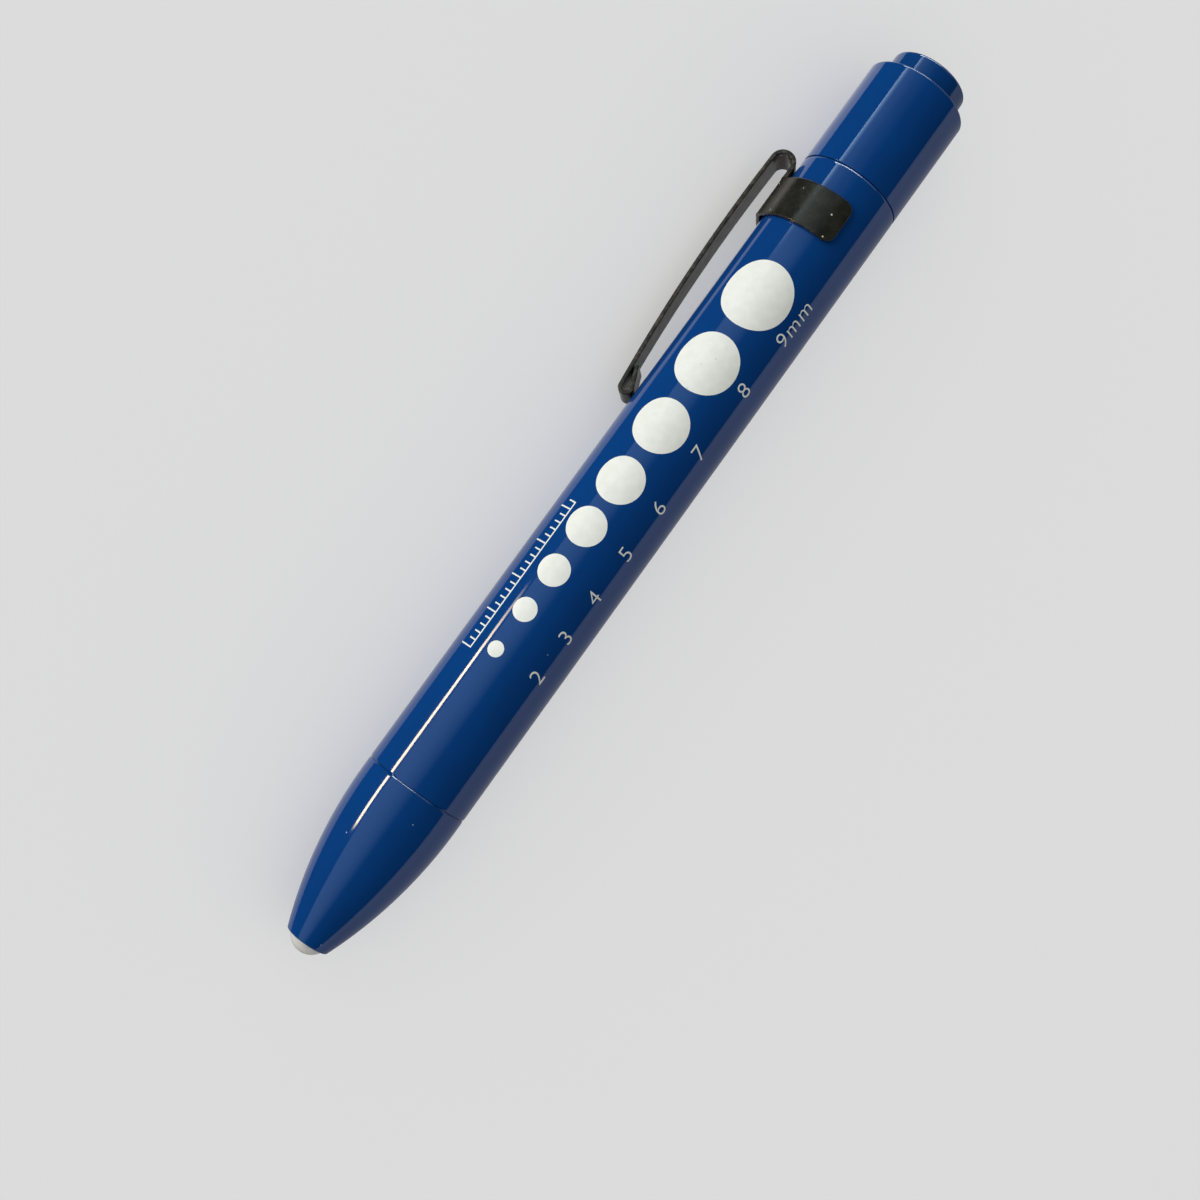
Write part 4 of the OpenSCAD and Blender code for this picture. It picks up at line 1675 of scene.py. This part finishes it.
    def panel(self) -> None:
        """Hangs the overhead panel: sharp along one side, faded to the other, brighter beyond the tail."""
        bm = bmesh.new()
        first, last = self.panel_turns
        corner = self.pen.direction(first) * self.panel_r
        places = even_steps(*self.panel_span, self.panel_step)
        verts, edges = draw_line(bm, [corner + Vector((0, 0, place)) for place in places], closed=False)
        spin_round(bm, verts + edges, math.radians(last - first), self.panel_arcs)
        glow = bm.verts.layers.float.new("glow")
        for vert in bm.verts:
            share = (math.degrees(math.atan2(vert.co.y, vert.co.x)) - first) / (last - first)
            edge = max(0.0, 1 - share / self.panel_edge) ** 2
            tail = share_between(vert.co.z, *self.panel_tail)
            dim = tail * self.panel_tail_fade * min(share, self.panel_fade_end)
            far = share_between(vert.co.z, *self.panel_far)
            bright = self.panel_tail_gain * edge * tail * (1 - far)
            vert[glow] = max(0.0, 1 - share**3) * (1 - dim) + bright
        self.card("overhead_panel", bm, self.panel_colour, self.panel_glow)

    def strip(self) -> None:
        """Hangs the narrow warm strip light beside the nose."""
        bm = bmesh.new()
        low, high = self.strip_span
        size = Matrix.Diagonal((self.strip_width, high - low, 1, 1))
        out = self.pen.direction(self.strip_turn)
        side = Vector((-out.y, out.x, 0))
        axes = Matrix((side, Vector((0, 0, 1)), out)).transposed().to_4x4()
        middle = Matrix.Translation(out * self.strip_r + Vector((0, 0, (low + high) / 2)))
        across, along = self.strip_cells
        shape = middle @ axes @ size
        bmesh.ops.create_grid(bm, x_segments=across, y_segments=along, size=0.5, matrix=shape)
        glow = bm.verts.layers.float.new("glow")
        for vert in bm.verts:
            inward = self.strip_width / 2 - abs(vert.co.dot(side))
            ends = zip((vert.co.z - low, high - vert.co.z), self.strip_fades)
            shade = min(share_between(away, 0, fade) for away, fade in ends)
            vert[glow] = shade * share_between(inward, 0, self.strip_soft)
        self.card("strip_light", bm, self.strip_colour, self.strip_glow)

    def table(self) -> None:
        """Lays the pale table card that the paint mirrors along both sides, with a painted contact shadow of the
        pen: dimmer close to the pen.
        """
        bm = bmesh.new()
        up = self.pen.direction(self.table_turn)
        side = Vector((up.y, -up.x, 0))
        foot = -up * (self.pen.radius("barrel") + self.table_below)
        left, right = self.table_reach
        places = even_steps(-right, left, self.table_step)
        verts, edges = draw_line(bm, [foot + side * place for place in places], closed=False)
        stops = (-self.floor_size / 2, *self.table_tail, self.floor_size / 2)
        bmesh.ops.translate(bm, verts=verts, vec=(0, 0, stops[0]))
        for stop, after in zip(stops, stops[1:]):
            drawn = bmesh.ops.extrude_edge_only(bm, edges=edges)["geom"]
            verts = [item for item in drawn if isinstance(item, BMVert)]
            edges = [item for item in drawn if isinstance(item, BMEdge)]
            bmesh.ops.translate(bm, verts=verts, vec=(0, 0, after - stop))
        glow = bm.verts.layers.float.new("glow")
        for vert in bm.verts:
            away = vert.co.dot(side)
            # Painted contact shadow: dimmer glow near the pen on both sides, dimmer still in a band beside it on
            # the clip's side.
            near = self.table_shade[away < 0]
            tail = share_between(vert.co.z, *self.table_tail) * (away > 0)
            shade = near + (1 - near) * share_between(abs(away), 0, self.table_shade_width)
            if away > 0:
                dark = self.table_shadow_level
                shade *= dark + (1 - dark) * share_between(away, *self.table_shadow_band)
            vert[glow] = shade * (1 + (self.table_tail_gain - 1) * tail)
            vert.co += side * max(0.0, away - self.table_near) * (self.table_tail_reach - 1) * tail
        self.card("table_card", bm, self.table_colour, self.table_glow)

    def lamp(self, name: str, away: Vector, watts: float, size: float, distance: float) -> Item:
        """Adds a round soft light that aims at the middle of the pen and isn't mirrored in the paint.

        Args:
            name: Its name.
            away: Direction from the pen to the light, in the row frame.
            watts: Its power.
            size: Its diameter.
            distance: How far it is from the pen.

        Returns:
            The light.
        """
        data = bpy.data.lights.new(name, "AREA")
        data.shape, data.size, data.energy = "DISK", size * MM, watts
        lamp = put_in_scene(name, data)
        middle = self.pen.point(0, 0, sum(self.pen.span("barrel")) / 2)
        aim = away.to_track_quat("Z", "Y").to_matrix().to_4x4()
        lamp.matrix_world = Matrix.Translation(middle + away * distance * MM) @ aim
        lamp.visible_glossy = False
        return lamp

    def lights(self, floor: Item) -> None:
        """Sets the even room light, the key light for the pen and the top light for the floor.

        Args:
            floor: The floor, which only the room light and the top light reach.
        """
        world = bpy.data.worlds.new("room")
        world.use_nodes = True
        light = {"Strength": self.room_glow, "Color": (1, 1, 1, 1)}
        ShaderGraph.fill(world.node_tree.nodes["Background"], light)
        world.cycles_visibility.glossy = False
        bpy.context.scene.world = world
        side = (self.pen.to_row.to_3x3() @ self.pen.direction(self.key_turn)).normalized()
        key = self.lamp("key_light", side, self.key_watts, self.key_size, self.key_distance)
        top = self.lamp("top_light", Vector((0, 0, 1)), self.top_watts, self.top_size, self.top_distance)
        for light, lit in ((key, self.pieces), (top, self.group("lit_floor", [floor]))):
            light.light_linking.receiver_collection = light.light_linking.blocker_collection = lit
        bpy.context.scene.view_settings.view_transform = "Standard"

    def build(self) -> None:
        """Sets up the whole stage."""
        self.camera()
        floor = self.floor()
        self.panel()
        self.end_card()
        self.strip()
        self.table()
        self.lights(floor)


def main() -> None:
    """Builds the penlight's pieces and the stage, in order."""
    logging.basicConfig(level=logging.INFO, format="%(name)s %(message)s")
    pen = PenFrame.from_solids()
    for assembly in (NoseAssembly(pen), Barrel(pen), TailAssembly(pen), SpringClip(pen), InnerWorks()):
        LOG.info("building %s", type(assembly).__name__)
        assembly.build()
    Studio(pen).build()


if __name__ == "__main__":
    main()
